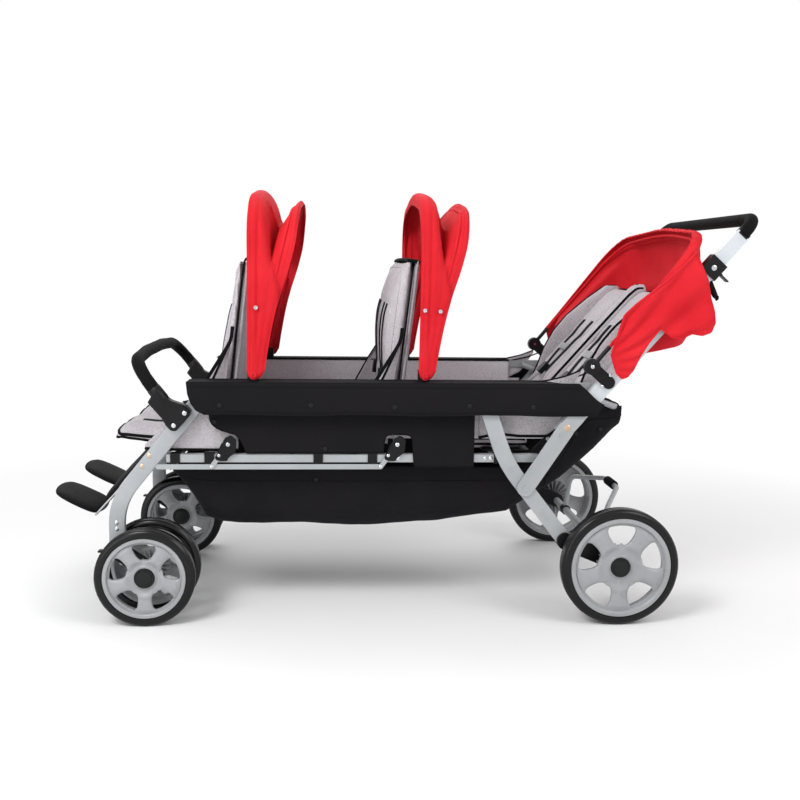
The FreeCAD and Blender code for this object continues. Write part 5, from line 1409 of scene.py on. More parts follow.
@dataclass
class SeatRow:
    """One upright row: a seat cushion for two and the padded back behind it."""

    name: str
    seat_x: float
    deep: float
    hinge: tuple[float, float]
    half: float = 266.0
    base: float = 435.6
    lean: float = 83.5
    tall: float = 442.0
    thick: float = 56.0
    shell: float = 22.0

    @property
    def run(self) -> Vector:
        """Direction up the back."""
        return unit(self.lean)

    @property
    def face(self) -> Vector:
        """Direction out of the back's front."""
        return unit(self.lean + 90)

    def foot(self) -> Vector:
        """Lower edge of the back's rear face."""
        return vec(self.hinge[0], 0, self.hinge[1]) + self.run * 28 + unit(self.lean - 90) * 9

    def build(self) -> None:
        """Make the row."""
        self.cushion()
        self.back()
        self.hardware()
        self.wings()
        self.harness()

    def cushion(self) -> None:
        """Seat cushion with a piped upper edge; the front row's is a wedge."""
        front = self.name == "front"

        def rise(u: float) -> tuple[float, float]:
            """Lift of the lower and the upper face along the seat."""
            t = (1 - u) / 2
            return (44.0 * t ** 1.7 if front else 0.0, 11.0 * smooth(t * 2 - 1) if front else 0.0)

        shape = PadShape(vec(self.seat_x + self.deep / 2, 0, self.base + 21), vec(1, 0, 0),
                         vec(0, 0, 1), self.deep - 2, 2 * self.half - 4, 20.6, 29.5, 9.0, 2.0,
                         (0.0, -133.0, 133.0), (), 5.5, 0.0, 9.0 if front else 0.0, rise)
        pad = put(f"{self.name}_seat_pad", shape.mesh(30, 64), HEATHER, "", "seat_fabric")
        swell(pad, 6.0, 4.0)
        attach(pad, "frame")
        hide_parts(f"{self.name}_seat_cushion")
        lift = 20.0 if front else 3.0
        x0, x1 = self.seat_x + (-4.0 if front else 1.0), self.seat_x + self.deep - 8
        side = self.half - 1.5
        points = [vec(x1, -side, self.base + 30), vec(x0 + 16, -side, self.base + 30 + lift * 0.6),
                  vec(x0, -side + 12, self.base + 30 + lift), vec(x0, side - 12, self.base + 30 + lift),
                  vec(x0 + 16, side, self.base + 30 + lift * 0.6), vec(x1, side, self.base + 30)]
        line = skin_line(pad, even(rounded(points, 9, 5), 150), 0.8)
        put(f"{self.name}_seat_piping", tube(eased(line, 3), 3.9, 10), BINDING, "frame",
            "black_fabric")
        low = [p + vec(4, 0, -(24 if front else 26)) for p in points]
        line = skin_line(pad, even(rounded(low, 9, 5), 150), 0.6)
        put(f"{self.name}_seat_lower_piping", tube(eased(line, 3), 3.5, 10), BINDING, "frame",
            "black_fabric")

    def back(self) -> None:
        """Padded front, rear shell in a darker cloth that is painted shade, piping and the binding over the
        top.
        """
        body = f"{self.name}_backrest"
        foot = self.foot()
        middle = foot + self.run * (self.tall / 2)
        pad_mid = middle + self.face * (self.shell + 9)
        def rise(u: float) -> tuple[float, float]:
            """Lift of the front face: the front row thins upwards, the middle one bulges."""
            if self.name == "front":
                return 0.0, -15.0 * smooth((u + 0.3) / 1.2)
            return 0.0, 17.0 * math.exp(-((u - 0.25) / 0.5) ** 2) - 5.0 * smooth((u - 0.5) * 2)

        shape = PadShape(pad_mid, self.run, self.face, self.tall - 4, 2 * self.half - 4, 9.0, 25.5,
                         8.0, 3.0, (0.0, -133.0, 133.0), (-70.0, 95.0), 5.0, rise=rise)
        pad = put(f"{self.name}_back_pad", shape.mesh(46, 60), HEATHER, "", "seat_fabric")
        swell(pad, 6.5, 4.5)
        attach(pad, body)
        rear = PadShape(middle + self.face * 11, self.run, -self.face, self.tall - 6,
                        2 * self.half - 8, 11.0, 10.5, 10.0, 2.0, (), (), 0.0)
        shell = put(f"{self.name}_back_shell", rear.mesh(30, 44), SHADED_SHELL_CLOTH, body, "seat_fabric")
        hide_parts(f"{self.name}_seatback")
        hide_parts(f"{self.name}_seatback")
        seam = PadShape(middle + self.face * (self.shell + 0.5), self.run, self.face, self.tall - 4,
                        2 * self.half - 3, 1, 1)
        put(f"{self.name}_back_piping", ring(seam.rim(0.5), 2.6), BINDING, body, "black_fabric")
        edge = PadShape(middle + self.face * (self.shell + 26), self.run, self.face,
                        self.tall - 40, 2 * self.half - 36, 1, 1)
        line = skin_line(pad, edge.rim(0.0), 0.4)
        put(f"{self.name}_back_front_seam", ring(line, 1.6, 8), HEATHER, body, "seat_fabric")
        deep = 15.0 if self.name == "front" else 34.0
        top = foot + self.run * (self.tall - 1.0) + self.face * (deep / 2 + 6)
        line = [top + vec(0, y, -1.6 * (abs(y) / 258) ** 4 * 3) for y in
                [-257 + 514 * i / 40 for i in range(41)]]
        put(f"{self.name}_back_binding", sweep(line, box_section(deep, 7.5, 3.4, 4), self.face),
            BINDING, body, "black_fabric")

    def hardware(self) -> None:
        """Hinge shafts, lugs, arms and pins of the back."""
        x, z = self.hinge
        end = (x - 42.0, z - 58.0)
        top = vec(x, 0, z) + self.run * 89.6
        body = f"{self.name}_backrest"
        arm = plate(strap_outline((x, z), end, 12.0), -312.6, 3.0, 0.0, 0.7)
        lug = plate(strap_outline((x, z), (top.x, top.z), 18.0), -269.3, 3.0, 0.0, 0.7)
        shaft = lathe(vec(x, 0, z), [(-266.3, 0.0), (-266.3, 5.0), (-312.4, 5.0), (-312.4, 0.0)], 20)
        pin = lathe(vec(end[0], 0, end[1]), [(-306.4, 0.0), (-306.4, 3.6), (-312.0, 3.6),
                                             (-312.0, 0.0)], 16)
        arms = put(f"{self.name}_back_arms", both(joined(arm, lug)), STEEL, body, "steel_grey")
        heads = [dome(vec(x + a, -y, z + b), r, -1, 1.8) for a, b, y, r in
                 ((0.0, 0.0, 315.1, 5.2), (-23.0, -28.0, 315.1, 4.2), (-42.0, -58.0, 312.5, 4.6))]
        guard = plate([(x + a, z + b) for a, b in ((-37, -39), (-11, -43), (19, -20), (22, 12), (8, 25),
                                                   (-9, 16), (-19, -10))], -314.2, 1.4,
                      [7, 7, 12, 10, 8, 12, 16], 0.8)
        put(f"{self.name}_back_guards", both(guard), PLASTIC, body, "black_plastic")
        put(f"{self.name}_back_pins", both(joined(shaft, pin, *heads)), BRIGHT, body, "rivet_steel")
        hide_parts(f"{self.name}_seatback")

    def wings(self) -> None:
        """Side cloths between the back and the seat, with a piped free edge."""
        shift = self.hinge[0] + 259.0
        free = ((452.0, -392.0), (540.0, -356.0), (619.0, -313.0), (700.0, -262.0), (752.0, -231.0))
        for side in SIDES:
            def shape(u: float, v: float) -> Vector:
                """Cloth from the back's side, u towards the free edge."""
                z = mix(452, 752, v)
                along = (z - self.foot().z) / self.run.z
                spot = self.foot() + self.run * max(0.0, along) + self.face * 34
                x = mix(spot.x, table(free, z) + shift, u)
                x = min(x, spot.x + 2)
                bulge = 3.0 * math.sin(math.pi * u) * math.sin(math.pi * v)
                y = mix(268.5, 277.5, smooth(u * 1.4)) + bulge + 1.2 * ripple(vec(x, 0, z), 55)
                return vec(x, side * min(280.0, y), z)

            word = SIDE_NAME[side]
            mesh = grid(shape, 16, 36)
            wing = cloth(f"{self.name}_wing_{word}", mesh, HEATHER, "seat_fabric", "", 2.4)
            line = eased([shape(1.0, j / 36) + vec(0, side * 1.5, 0) for j in range(37)], 2)
            inner = eased([shape(0.7, j / 36) + vec(0, side * 2.2, 0) for j in range(2, 35)], 2)
            edge = joined(ribbon(line, 9.0, 4.6, vec(1, 0, 0.4)), ribbon(inner, 6.0, 2.6, vec(1, 0, 0.4)))
            trim = put(f"{self.name}_wing_piping_{word}", edge, BINDING, "", "black_fabric")
            top = vec(-235 + shift, side * 275, 752)
            for piece in (wing, trim):
                DATUM.out(top)
                DATUM.out(vec(-330 + shift, side * 275, 560))
                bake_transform(piece)

    def harness(self) -> None:
        """Shoulder straps on the back, lap straps and a buckle on the seat."""
        body = f"{self.name}_backrest"
        front = self.foot() + self.face * 58
        pad = bpy.data.objects[f"{self.name}_back_pad"]
        seat = bpy.data.objects[f"{self.name}_seat_pad"]
        straps = []
        for centre in (-133, 133):
            for off in (-46, 46):
                points = []
                for length, out, y in ((318, -4, off), (312, 5, off), (285, 12, off),
                                       (230, 15, off * 0.9), (170, 14, off * 0.75),
                                       (128, 10, off * 0.55), (118, 6, off * 0.5)):
                    points.append(front + self.run * length + self.face * out
                                  + vec(0, centre + y, 0))
                line = skin_line(pad, even(rounded(points, 6, 3), 40), 1.8)
                straps.append(ribbon(eased(line, 4), 25.0, 2.4, vec(0, 1, 0)))
            points = [front + self.run * 122 + self.face * 8 + vec(0, centre + y, 0)
                      for y in (-34, -12, 12, 34)]
            straps.append(ribbon(skin_line(pad, points, 3.0), 25.0, 2.4, self.run))
        put(f"{self.name}_shoulder_straps", joined(*straps), WEBBING, body, "black_fabric")
        buckles = []
        for centre in (-133, 133):
            spot = front + self.run * 122 + self.face * 8 + vec(0, centre, 0)
            line = [p + self.face * h for p, h in zip(skin_line(pad, [spot, spot], 0), (-3, 13))]
            buckles.append(sweep(line, box_section(40, 34, 9, 4), self.run))
        put(f"{self.name}_buckles", joined(*buckles), PLASTIC, body, "black_plastic")
        laps = []
        top = self.base + 51.0
        rear = self.seat_x + self.deep - 12
        for centre in (-133, 133):
            for off in (-1, 1):
                points = [vec(rear, centre + off * 118, top - 6), vec(rear - 30, centre + off * 92, top),
                          vec(rear - 62, centre + off * 52, top + 1), vec(rear - 78, centre + off * 18, top)]
                line = eased(skin_line(seat, even(rounded(points, 12, 4), 24), 1.8), 3)
                laps.append(ribbon(line, 25.0, 2.4, vec(0.5, off, 0)))
            points = [vec(self.seat_x + 46, centre, top - 4), vec(self.seat_x + 80, centre, top + 1.5),
                      vec(rear - 80, centre, top + 3)]
            line = eased(skin_line(seat, even(rounded(points, 14, 4), 16), 1.8), 3)
            laps.append(ribbon(line, 25.0, 2.4, vec(0, 1, 0)))
        put(f"{self.name}_lap_straps", joined(*laps), WEBBING, "frame", "black_fabric")


@dataclass
class RearSeat:
    """The rear row: its cushion and the reclined back with two pads and a padded divider."""

    hinge: tuple[float, float] = (562.0, 468.0)
    angle: float = 48.8
    long: float = 495.0
    thick: float = 46.0
    half: float = 266.0

    def build(self) -> None:
        """Make the rear row."""
        row = SeatRow("rear", 312.0, 206.0, self.hinge)
        row.cushion()
        self._back()
        self._harness()
        self._side_cloths()

    def _spot(self, length: float, out: float, y: float = 0.0) -> Vector:
        """Place on the back: along it, out of its rear face, and across."""
        base = vec(self.hinge[0], 0, self.hinge[1]) + unit(self.angle) * 15 \
            + unit(self.angle - 90) * 23
        return base + unit(self.angle) * length + unit(self.angle + 90) * out + vec(0, y, 0)

    def _back(self) -> None:
        """Two pads, the rear shell, the divider and their piping."""
        run, face = unit(self.angle), unit(self.angle + 90)
        for side in SIDES:
            word = SIDE_NAME[side]
            shape = PadShape(self._spot(self.long / 2, 20, side * 137), run, face, self.long - 6, 254,
                             8.0, 27.0, 8.0, 3.0, (), (-110.0, 40.0), 5.0)
            pad = put(f"rear_back_pad_{word}", shape.mesh(44, 34), HEATHER, "", "seat_fabric")
            swell(pad, 6.5, 4.5)
            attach(pad, "rear_backrest")
            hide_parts("rear_seatback")
            put(f"rear_back_piping_{word}", ring(shape.rim(0.8), 2.5), BINDING, "rear_backrest",
                "black_fabric")
        # Rear shell in a darker cloth that is painted shade of its backward-facing side.
        shell_shape = PadShape(self._spot(self.long / 2, 10), run, -face, self.long - 4,
                               2 * self.half - 4, 10.0, 9.6, 10.0, 2.0, (), (), 0.0)
        shell = put("rear_back_shell", shell_shape.mesh(34, 44), SHADED_SHELL_CLOTH, "rear_backrest",
                    "seat_fabric")
        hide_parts("rear_seatback")
        line = [self._spot(x, out) for x, out in ((12, 36), (24, 44), (120, 47), (300, 47), (440, 46),
                                                  (474, 42), (486, 28))]
        line = even(rounded(line, 18, 6), 60)
        roll = put("rear_back_divider", sweep(line, circle(31.0, 28, 0.55), vec(0, 1, 0)), HEATHER,
                   "rear_backrest", "seat_fabric")
        trims = []
        for y in (-27.0, 27.0):
            trims.append(tube([p + vec(0, y, 0) + face * 8.6 for p in line], 3.8, 8))
        for side in SIDES:
            self._wing(side)
        loop_line = [self._spot(x, out, y) for x, out, y in
                     ((452, 54, -11), (472, 54, -11), (490, 50, -5), (490, 50, 5), (472, 54, 11),
                      (452, 54, 11))]
        trims.append(tube(eased(even(rounded(loop_line, 8, 5), 40), 2), 2.0, 8))
        put("rear_divider_piping", joined(*trims), BINDING, "rear_backrest", "black_fabric")

    def _wing(self, side: int) -> None:
        """Raised padded wing along one side of the back, with piping over its crest."""
        tall = ((80.0, 2.0), (140.0, 20.0), (200.0, 44.0), (260.0, 58.0), (320.0, 60.0), (400.0, 48.0),
                (470.0, 32.0), (492.0, 6.0))

        def shape(u: float, v: float) -> Vector:
            """Place on the wing, u along the back and v round its section."""
            length = mix(80, 492, u)
            high = 26 + table(tall, length)
            turn = math.tau * v
            y = 256.5 + 9.5 * max(-1.0, min(1.0, 1.25 * math.cos(turn)))
            out = mix(20, high, 0.5 + 0.5 * max(-1.0, min(1.0, 1.15 * math.sin(turn))))
            return self._spot(length, out, side * y)

        word = SIDE_NAME[side]
        wing = put(f"rear_back_wing_{word}", grid(shape, 60, 28), HEATHER, "rear_backrest",
                   "seat_fabric", 60)
        crest = [shape(i / 60, 0.25) + vec(0, side * 5.0, 0) for i in range(61)]
        trim = tube(eased(crest, 4), 3.4, 10)
        put(f"rear_wing_piping_{word}", trim, BINDING, "rear_backrest", "black_fabric")

    def _harness(self) -> None:
        """Shoulder straps that lie on the pads, black with a pale chest strap."""
        dark, pale, plastic = [], [], []
        for centre, word in ((-137, "left"), (137, "right")):
            pad = bpy.data.objects[f"rear_back_pad_{word}"]
            for off in (-44, 44):
                points = [self._spot(x, out, centre + off * k) for x, out, k in
                          ((338, 40, 1.0), (334, 51, 1.0), (300, 55, 0.95), (220, 56, 0.8),
                           (150, 57, 0.55), (138, 56, 0.4))]
                line = skin_line(pad, even(rounded(points, 8, 4), 40), 1.8)
                dark.append(ribbon(eased(line, 4), 20.0, 2.4, vec(0, 1, 0)))
            points = [self._spot(232, 58.5, centre + y) for y in (-36, -12, 12, 36)]
            pale.append(ribbon(skin_line(pad, points, 4.4), 22.0, 2.0, unit(self.angle)))
            spot = self._spot(142, 58, centre)
            face = unit(self.angle + 90)
            plastic.append(sweep([spot - face * 6, spot + face * 8], box_section(38, 34, 9, 4),
                                 unit(self.angle)))
            for off in (-1, 1):
                points = [self._spot(20, 52, centre + off * 112), self._spot(60, 56, centre + off * 84),
                          self._spot(118, 57, centre + off * 34), self._spot(132, 57, centre + off * 16)]
                line = skin_line(pad, even(rounded(points, 12, 4), 24), 1.8)
                pale.append(ribbon(eased(line, 3), 20.0, 2.0, vec(0.3, off, 0.3)))
        put("rear_shoulder_straps", joined(*dark), WEBBING, "rear_backrest", "black_fabric")
        put("rear_pale_straps", joined(*pale), PALE_WEBBING, "rear_backrest", "seat_fabric")
        put("rear_buckles", joined(*plastic), PLASTIC, "rear_backrest", "black_plastic")

    def _side_cloths(self) -> None:
        """Grey side cloths above and below the band, up to the canopy knobs."""
        upper = ((396.0, 617.0), (443.0, 618.0), (500.0, 617.0), (546.0, 620.0), (600.0, 632.0),
                 (640.0, 648.0))
        lower = ((396.0, 540.0), (500.0, 540.0), (560.0, 560.0), (600.0, 580.0), (640.0, 640.0))
        for side in SIDES:
            def shape(u: float, v: float) -> Vector:
                """Cloth along the side, v up to its piped edge."""
                x = mix(396, 640, u)
                z = mix(table(lower, x), table(upper, x), v)
                y = 290.5 + 3 * math.sin(math.pi * u) + 1.5 * ripple(vec(x, 0, z), 45)
                return vec(x, side * y, z)

            word = SIDE_NAME[side]
            piece = cloth(f"rear_side_cloth_{word}", grid(shape, 40, 12), HEATHER, "seat_fabric",
                          "frame", 2.2)
            trims = [tube(eased([shape(i / 40, 1.0) for i in range(41)], 2), 2.2, 10),
                     tube(eased([shape(i / 40, 1.0) + vec(22, -side * 3, 5) * (i / 40)
                                 + vec(4, -side * 2, -9) for i in range(16, 41)], 2), 2.0, 10)]
            put(f"rear_side_piping_{word}", joined(*trims), BINDING, "frame", "black_fabric")


@dataclass
class SeatSkirts:
    """Grey side cloths between the band and the seat rails, front and rear."""

    def build(self) -> None:
        """Make the skirts of both sides."""
        front = (((-470.0, 441.0), (-400.0, 438.0), (-236.0, 437.0)),
                 ((-470.0, 452.0), (-420.0, 500.0), (-390.0, 540.0), (-236.0, 560.0)))
        rear = (((380.0, 470.0), (430.0, 480.0), (486.0, 474.0), (560.0, 474.0), (596.0, 500.0)),
                ((380.0, 560.0), (596.0, 560.0)))
        for name, (low, high) in (("front", front), ("rear", rear)):
            for side in SIDES:
                self._skirt(name, low, high, side)

    @staticmethod
    def _skirt(name: str, low: Outline, high: Outline, side: int) -> None:
        """One skirt.

        Args:
            name: Which row it belongs to.
            low: Lower edge.
            high: Upper edge.
            side: Side of the stroller.
        """
        x0, x1 = low[0][0], low[-1][0]

        def shape(u: float, v: float) -> Vector:
            """Cloth along the rail."""
            x = mix(x0, x1, u)
            z = mix(table(low, x), table(high, x), v)
            y = 284.2 + 0.7 * math.sin(math.pi * v) * ripple(vec(x, 0, z), 40)
            return vec(x, side * min(284.8, y), z)

        word = SIDE_NAME[side]
        piece = cloth(f"{name}_skirt_{word}", grid(shape, 44, 16), HEATHER, "seat_fabric", "frame",
                      2.0)
        trim = tube(eased([shape(i / 44, 0.0) + vec(0, side * 2.2, 1) for i in range(45)], 1), 3.6, 10)
        put(f"{name}_skirt_piping_{word}", trim, BINDING, "frame", "black_fabric")


@dataclass
class Footrest:
    """Calf pad on two bright wires, with two tapered foot pads below it."""

    pivot: tuple[float, float] = (-458.0, 424.0)
    low: tuple[float, float] = (-609.0, 257.0)
    half: float = 246.0

    def build(self) -> None:
        """Make the calf pad, the wires and the foot pads."""
        run = (vec(self.low[0], 0, self.low[1]) - vec(self.pivot[0], 0, self.pivot[1]))
        long = run.length
        run = run / long
        face = vec(run.z, 0, -run.x)
        if face.x > 0:
            face = -face
        start = vec(self.pivot[0], 0, self.pivot[1]) + run * 12
        middle = start + run * ((long - 47) / 2)
        shape = PadShape(middle + face * 1.0, run, face, long - 47, 496, 4.0, 20.0, 8.0, 3.0,
                         (0.0,), (), 3.0)
        calf = put("calf_pad", shape.mesh(30, 50), PAD, "calf_rest_frame", "black_fabric")
        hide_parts("calf_rest")
        put("calf_piping", ring(shape.rim(0.4), 2.2), BINDING, "calf_rest_frame", "black_fabric")
        corners = [vec(self.pivot[0], -278, self.pivot[1]), vec(self.pivot[0], -self.half, self.pivot[1]),
                   vec(self.low[0], -self.half, self.low[1]), vec(self.low[0], self.half, self.low[1]),
                   vec(self.pivot[0], self.half, self.pivot[1]), vec(self.pivot[0], 278, self.pivot[1])]
        wires = [tube(rounded(corners, [9, 12, 12, 9], 6), 3.0, 12)]
        for back in (14.0, 30.0):
            spot = vec(self.low[0], 0, self.low[1]) - run * back
            wires.append(tube([spot + vec(0, -self.half, 0), spot + vec(0, self.half, 0)], 2.4, 10))
        put("calf_wires", joined(*wires), WIRE, "calf_rest_frame", "steel_grey")
        out = vec(-0.899, 0, 0.438)
        up = vec(0.438, 0, 0.899)
        for side in SIDES:
            word = SIDE_NAME[side]
            centre = vec(self.low[0], side * 149, self.low[1]) + out * 60.5 + up * 0.5
            pad = PadShape(centre, out, up, 112, 152, 8.6, 10.6, 5.0, -10.0, (), (), 0.0, 0.12)
            mesh = pad.mesh(26, 34)
            piece = put(f"foot_pad_{word}", mesh, PAD, "footrests", "black_fabric")
            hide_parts("footrest_pads")
            put(f"foot_pad_piping_{word}", ring(pad.rim(0.2, 120), 2.1), BINDING, "footrests",
                "black_fabric")


@dataclass
class SideBand:
    """Padded black band along the top rail, its grey lining, studs and the panel below."""

    left: Outline = field(default_factory=lambda: [(538.0, -316.0), (548.0, -334.0), (565.0, -346.0),
                                                   (590.0, -354.0), (618.5, -357.0)])
    right: Outline = field(default_factory=lambda: [(538.0, 676.0), (578.0, 692.0), (618.5, 624.0)])
    studs: tuple[tuple[float, float], ...] = ((-276.0, 561.0), (-51.0, 562.0), (158.0, 558.0),
                                              (347.0, 561.0), (509.0, 559.0))
    arch: tuple[float, float, float, float] = (134.0, 208.0, 434.0, 482.0)

    def build(self) -> None:
        """Make both sides."""
        for side in SIDES:
            self._band(side)
            self._lining(side)
            self._panel(side)
        heads = [snap(vec(x, -344.4, z), 5.6, -1) for x, z in self.studs]
        put("band_studs", both(joined(*heads)), GLOSS_PLASTIC, "frame", "black_plastic")
        heads = [snap(vec(x, -310.2, z), 5.6, -1) for x, z in ((-293, 515), (-15, 445))]
        put("panel_studs", both(joined(*heads)), GLOSS_PLASTIC, "frame", "black_plastic")

    def _shape(self, u: float, v: float, side: int) -> Vector:
        """Place on the band, u to the rear and v from the inner edge of its top downwards."""
        if v < 0.36:
            share = v / 0.36
            x = mix(-356, 640, u)
            inner = mix(284.5, 336.0, smooth((x - 540) / 50))
            top = 618.4 - 34 * smooth((x - 625) / 30)
            return vec(x, side * mix(inner, 337.5, share), top - 0.7 * math.sin(math.pi * share))
        share = (v - 0.36) / 0.64
        if share < 0.14:
            turn = math.pi / 2 * share / 0.14
            drop = 4.5 * (1 - math.cos(turn))
            y = 337.5 + 4.5 * math.sin(turn)
        else:
            drop = 4.5 + (share - 0.14) / 0.86 * 76
            y = 342.0 + 1.6 * math.sin(math.pi * (share - 0.14) / 0.86)
        z = 618.4 - drop
        x = mix(table(self.left, z), table(self.right, z), u)
        z -= 30 * smooth((x - 632) / 60) * (1 - share) * 0.9
        sag = 2.0 * math.sin(x / 52.0) * share + 1.6 * ripple(vec(x, 0, 0), 70, 3.0) * share
        wave = 0.9 * ripple(vec(x, 0, z), 38) * (0.3 + 0.7 * share)
        return vec(x, side * min(344.2, y + wave), z + sag * 0.7)

    def _band(self, side: int) -> None:
        """The black band with its hem."""
        word = SIDE_NAME[side]
        mesh = grid(lambda u, v: self._shape(u, v, side), 190, 40)
        band = cloth(f"side_band_{word}", mesh, BLACK, "black_fabric", "frame", 2.0)
        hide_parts("side_bands")
        lines = []
        for share, lift in ((0.955, 0.9), (0.50, 0.9), (0.395, 0.9)):
            line = [self._shape(i / 190, share, side) + vec(0, side * lift, 0)
                    for i in range(0, 189)]
            lines.append(tube(line, 0.75, 6))
        put(f"band_seams_{word}", joined(*lines), BINDING, "frame", "black_fabric")
        hem = [self._shape(i / 190, 1.0, side) + vec(0, side * 0.4, 0) for i in range(191)]
        put(f"band_hem_{word}", tube(hem, 1.7, 8), BLACK, "frame", "black_fabric")

    def _lining(self, side: int) -> None:
        """Grey cloth inside the rail, lightened as painted light against the shade it sits in."""
        def shape(u: float, v: float) -> Vector:
            """Cloth from the band's top down inside the rails."""
            x = mix(-352, 560, u)
            z = mix(617.0, 468.0, v)
            y = 283.0 - 1.6 * math.sin(math.pi * v) + 1.3 * ripple(vec(x, 0, z), 60, 1.0) - 0.8
            return vec(x, side * min(283.6, y), z)

        word = SIDE_NAME[side]
        lining = cloth(f"side_lining_{word}", grid(shape, 120, 20), PAINTED_LIGHT_LINING, "seat_fabric", "frame",
                       1.6)
        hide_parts("side_bands")
        line = [shape(i / 120, 0.0) + vec(0, -side * 1.5, 0) for i in range(121)]
        put(f"lining_piping_{word}", tube(line, 3.4, 8), BINDING, "frame", "black_fabric")

    def _edge(self, x: float) -> float:
        """Lower edge of the panel under the band."""
        front, rear, low, tall = self.arch
        if x < -214:
            return table(((-307, 540), (-305, 522), (-300, 509), (-290, 499), (-276, 492), (-240, 481),
                          (-226, 464), (-218, 444), (-214, 436)), x)
        if front < x < rear:
            t = (x - front) / (rear - front) * 2 - 1
            return low + (tall - low) * max(0.0, 1 - abs(t) ** 5) ** 0.2
        if x >= rear:
            return mix(low, 397.0, smooth((x - rear) / 5))
        return low

    def _panel(self, side: int) -> None:
        """Black panel that closes the side between the band and the seat rail."""
        def shape(u: float, v: float) -> Vector:
            """Panel place, u to the rear and v downwards."""
            x = mix(-307, 366, u)
            low = self._edge(x)
            z = mix(606.0, low, v)
            y = 308.8 + 0.6 * ripple(vec(x, 0, z), 50, 2.0)
            return vec(x, side * max(308.4, y), z)

        word = SIDE_NAME[side]
        panel = cloth(f"side_panel_{word}", grid(shape, 300, 26), BLACK, "black_fabric", "frame",
                      1.4)
        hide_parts("side_panels")
        line = [shape(i / 300, 1.0) for i in range(301)]
        put(f"panel_hem_{word}", tube(line, 1.3, 6), BINDING, "frame", "black_fabric")


@dataclass
class Basket:
    """Sagging cloth basket under the seats."""

    low: Outline = field(default_factory=lambda: [(-405.0, 380.0), (-390.0, 360.0), (-326.0, 252.0),
                                                  (-288.0, 236.0), (-80.0, 230.0), (91.0, 225.0),
                                                  (287.0, 238.0), (470.0, 262.0), (610.0, 350.0),
                                                  (700.0, 430.0), (762.0, 498.0)])
    high: Outline = field(default_factory=lambda: [(-405.0, 384.0), (566.0, 382.0), (600.0, 420.0),
                                                   (640.0, 500.0), (668.0, 540.0), (690.0, 546.0),
                                                   (762.0, 546.0)])
    half: float = 260.0

    def _ends(self, x: float) -> tuple[float, float]:
        """Lower and upper edge at a place along the basket."""
        top = table(self.high, x)
        low = table(self.low, x)
        return min(low, top - 2), top

    def _shape(self, u: float, v: float) -> Vector:
        """Place on the shell, u to the rear and v from the left edge round to the right one."""
        x = mix(-405, 762, u)
        low, top = self._ends(x)
        tall = top - low
        corner = min(52.0, tall * 0.8)
        wide = 2 * self.half
        turn = corner * math.pi / 2
        flank = tall - corner
        total = 2 * flank + 2 * turn + wide - 2 * corner
        at = v * total
        side = -1
        if at > total / 2:
            at, side = total - at, 1
        if at < flank:
            y, z = self.half, top - at
        elif at < flank + turn:
            a = (at - flank) / corner
            y = self.half - corner + corner * math.cos(a)
            z = low + corner - corner * math.sin(a)
        else:
            y, z = self.half - corner - (at - flank - turn), low
        depth = min(1.0, (top - z) / 60)
        place = vec(x, side * y, z)
        bulge = 5.0 * ripple(place, 150, 5.0) + 2.2 * ripple(place, 52, 9.0)
        wall = smooth((y - self.half + corner) / corner)
        y += depth * wall * (bulge * 0.6 - 2.0)
        z += depth * (1 - wall) * (bulge - 3.0)
        folds = 1.8 * math.sin(x / 15.0 + z / 30.0) * depth * smooth((z - low) / 80) \
            * smooth((380 - x) / 300)
        return vec(x, side * min(self.half + 4, y + folds), max(low - 6, z))

    def build(self) -> None:
        """Make the shell, its end, its hem and the straps that hold it."""
        share = 166 / 200

        def fore(u: float, v: float) -> Vector:
            """Trough under the seats."""
            return self._shape(u * share, v)

        def aft(u: float, v: float) -> Vector:
            """Rear part, which rises to the hoop."""
            return self._shape(share + u * (1 - share), v)

        low, top = self._ends(762.0)

        def back(u: float, v: float) -> Vector:
            """End wall at the rear."""
            y = mix(-self.half, self.half, u)
            drop = min(1.0, (self.half - abs(y)) / 40)
            return vec(762 - 1.2 * math.sin(math.pi * v), y, mix(top, mix(top - 20, low, smooth(drop)), v))

        piece = cloth("basket_shell", grid(fore, 166, 96), BLACK, "black_fabric", "frame", 2.2)
        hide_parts("storage_basket")
        tail = cloth("basket_tail", joined(grid(aft, 34, 96), grid(back, 60, 8)), BLACK, "black_fabric",
                     "frame", 2.2)
        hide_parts("storage_basket")
        hem = [self._shape(i / 200, 0.0) + vec(0, -0.6, 0) for i in range(201)]
        cuff = both(sweep(hem, box_section(3.4, 12.0, 1.6, 2), vec(0, 1, 0)))
        rim = put("basket_hem", cuff, BLACK, "", "black_fabric", 60)
        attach(rim, "frame")
        seam = [self._shape(i / 200, 0.042) + vec(0, -1.2, 0) for i in range(2, 199)]
        line = put("basket_seam", both(tube(seam[:165], 0.9, 6)), BINDING, "frame", "black_fabric")
        put("basket_tail_seam", both(tube(seam[164:], 0.9, 6)), BINDING, "frame", "black_fabric")
        for soft in (piece, line):
            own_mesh(soft)
        sleeve = [vec(752, -238 + 476 * i / 40, 546 + 0.6 * math.sin(i * 1.3)) for i in range(41)]
        roll = put("basket_sleeve", sweep(sleeve, circle(11.2, 18), vec(0, 0, 1)), BLACK, "frame",
                   "black_fabric")
        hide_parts("storage_basket")
        studs = [snap(vec(x, -self.half - 2.5, z), 5.4, -1)
                 for x, z in ((-39, 356), (643, 478), (707, 490))]
        put("basket_studs", both(joined(*studs)), GLOSS_PLASTIC, "frame", "black_plastic")
        strap = ribbon(even(rounded([vec(-404, -258, 384), vec(-410, -262, 396), vec(-404, -270, 408),
                                     vec(-396, -276, 414)], 6, 4), 20), 20.0, 2.0, vec(1, 0, 0.4))
        clip = sweep([vec(-409, -263, 392), vec(-407, -266, 402)], box_section(26, 9, 3), vec(1, 0, 0))
        put("basket_straps", both(strap), WEBBING, "frame", "black_fabric")
        put("basket_clips", both(clip), PLASTIC, "frame", "black_plastic")


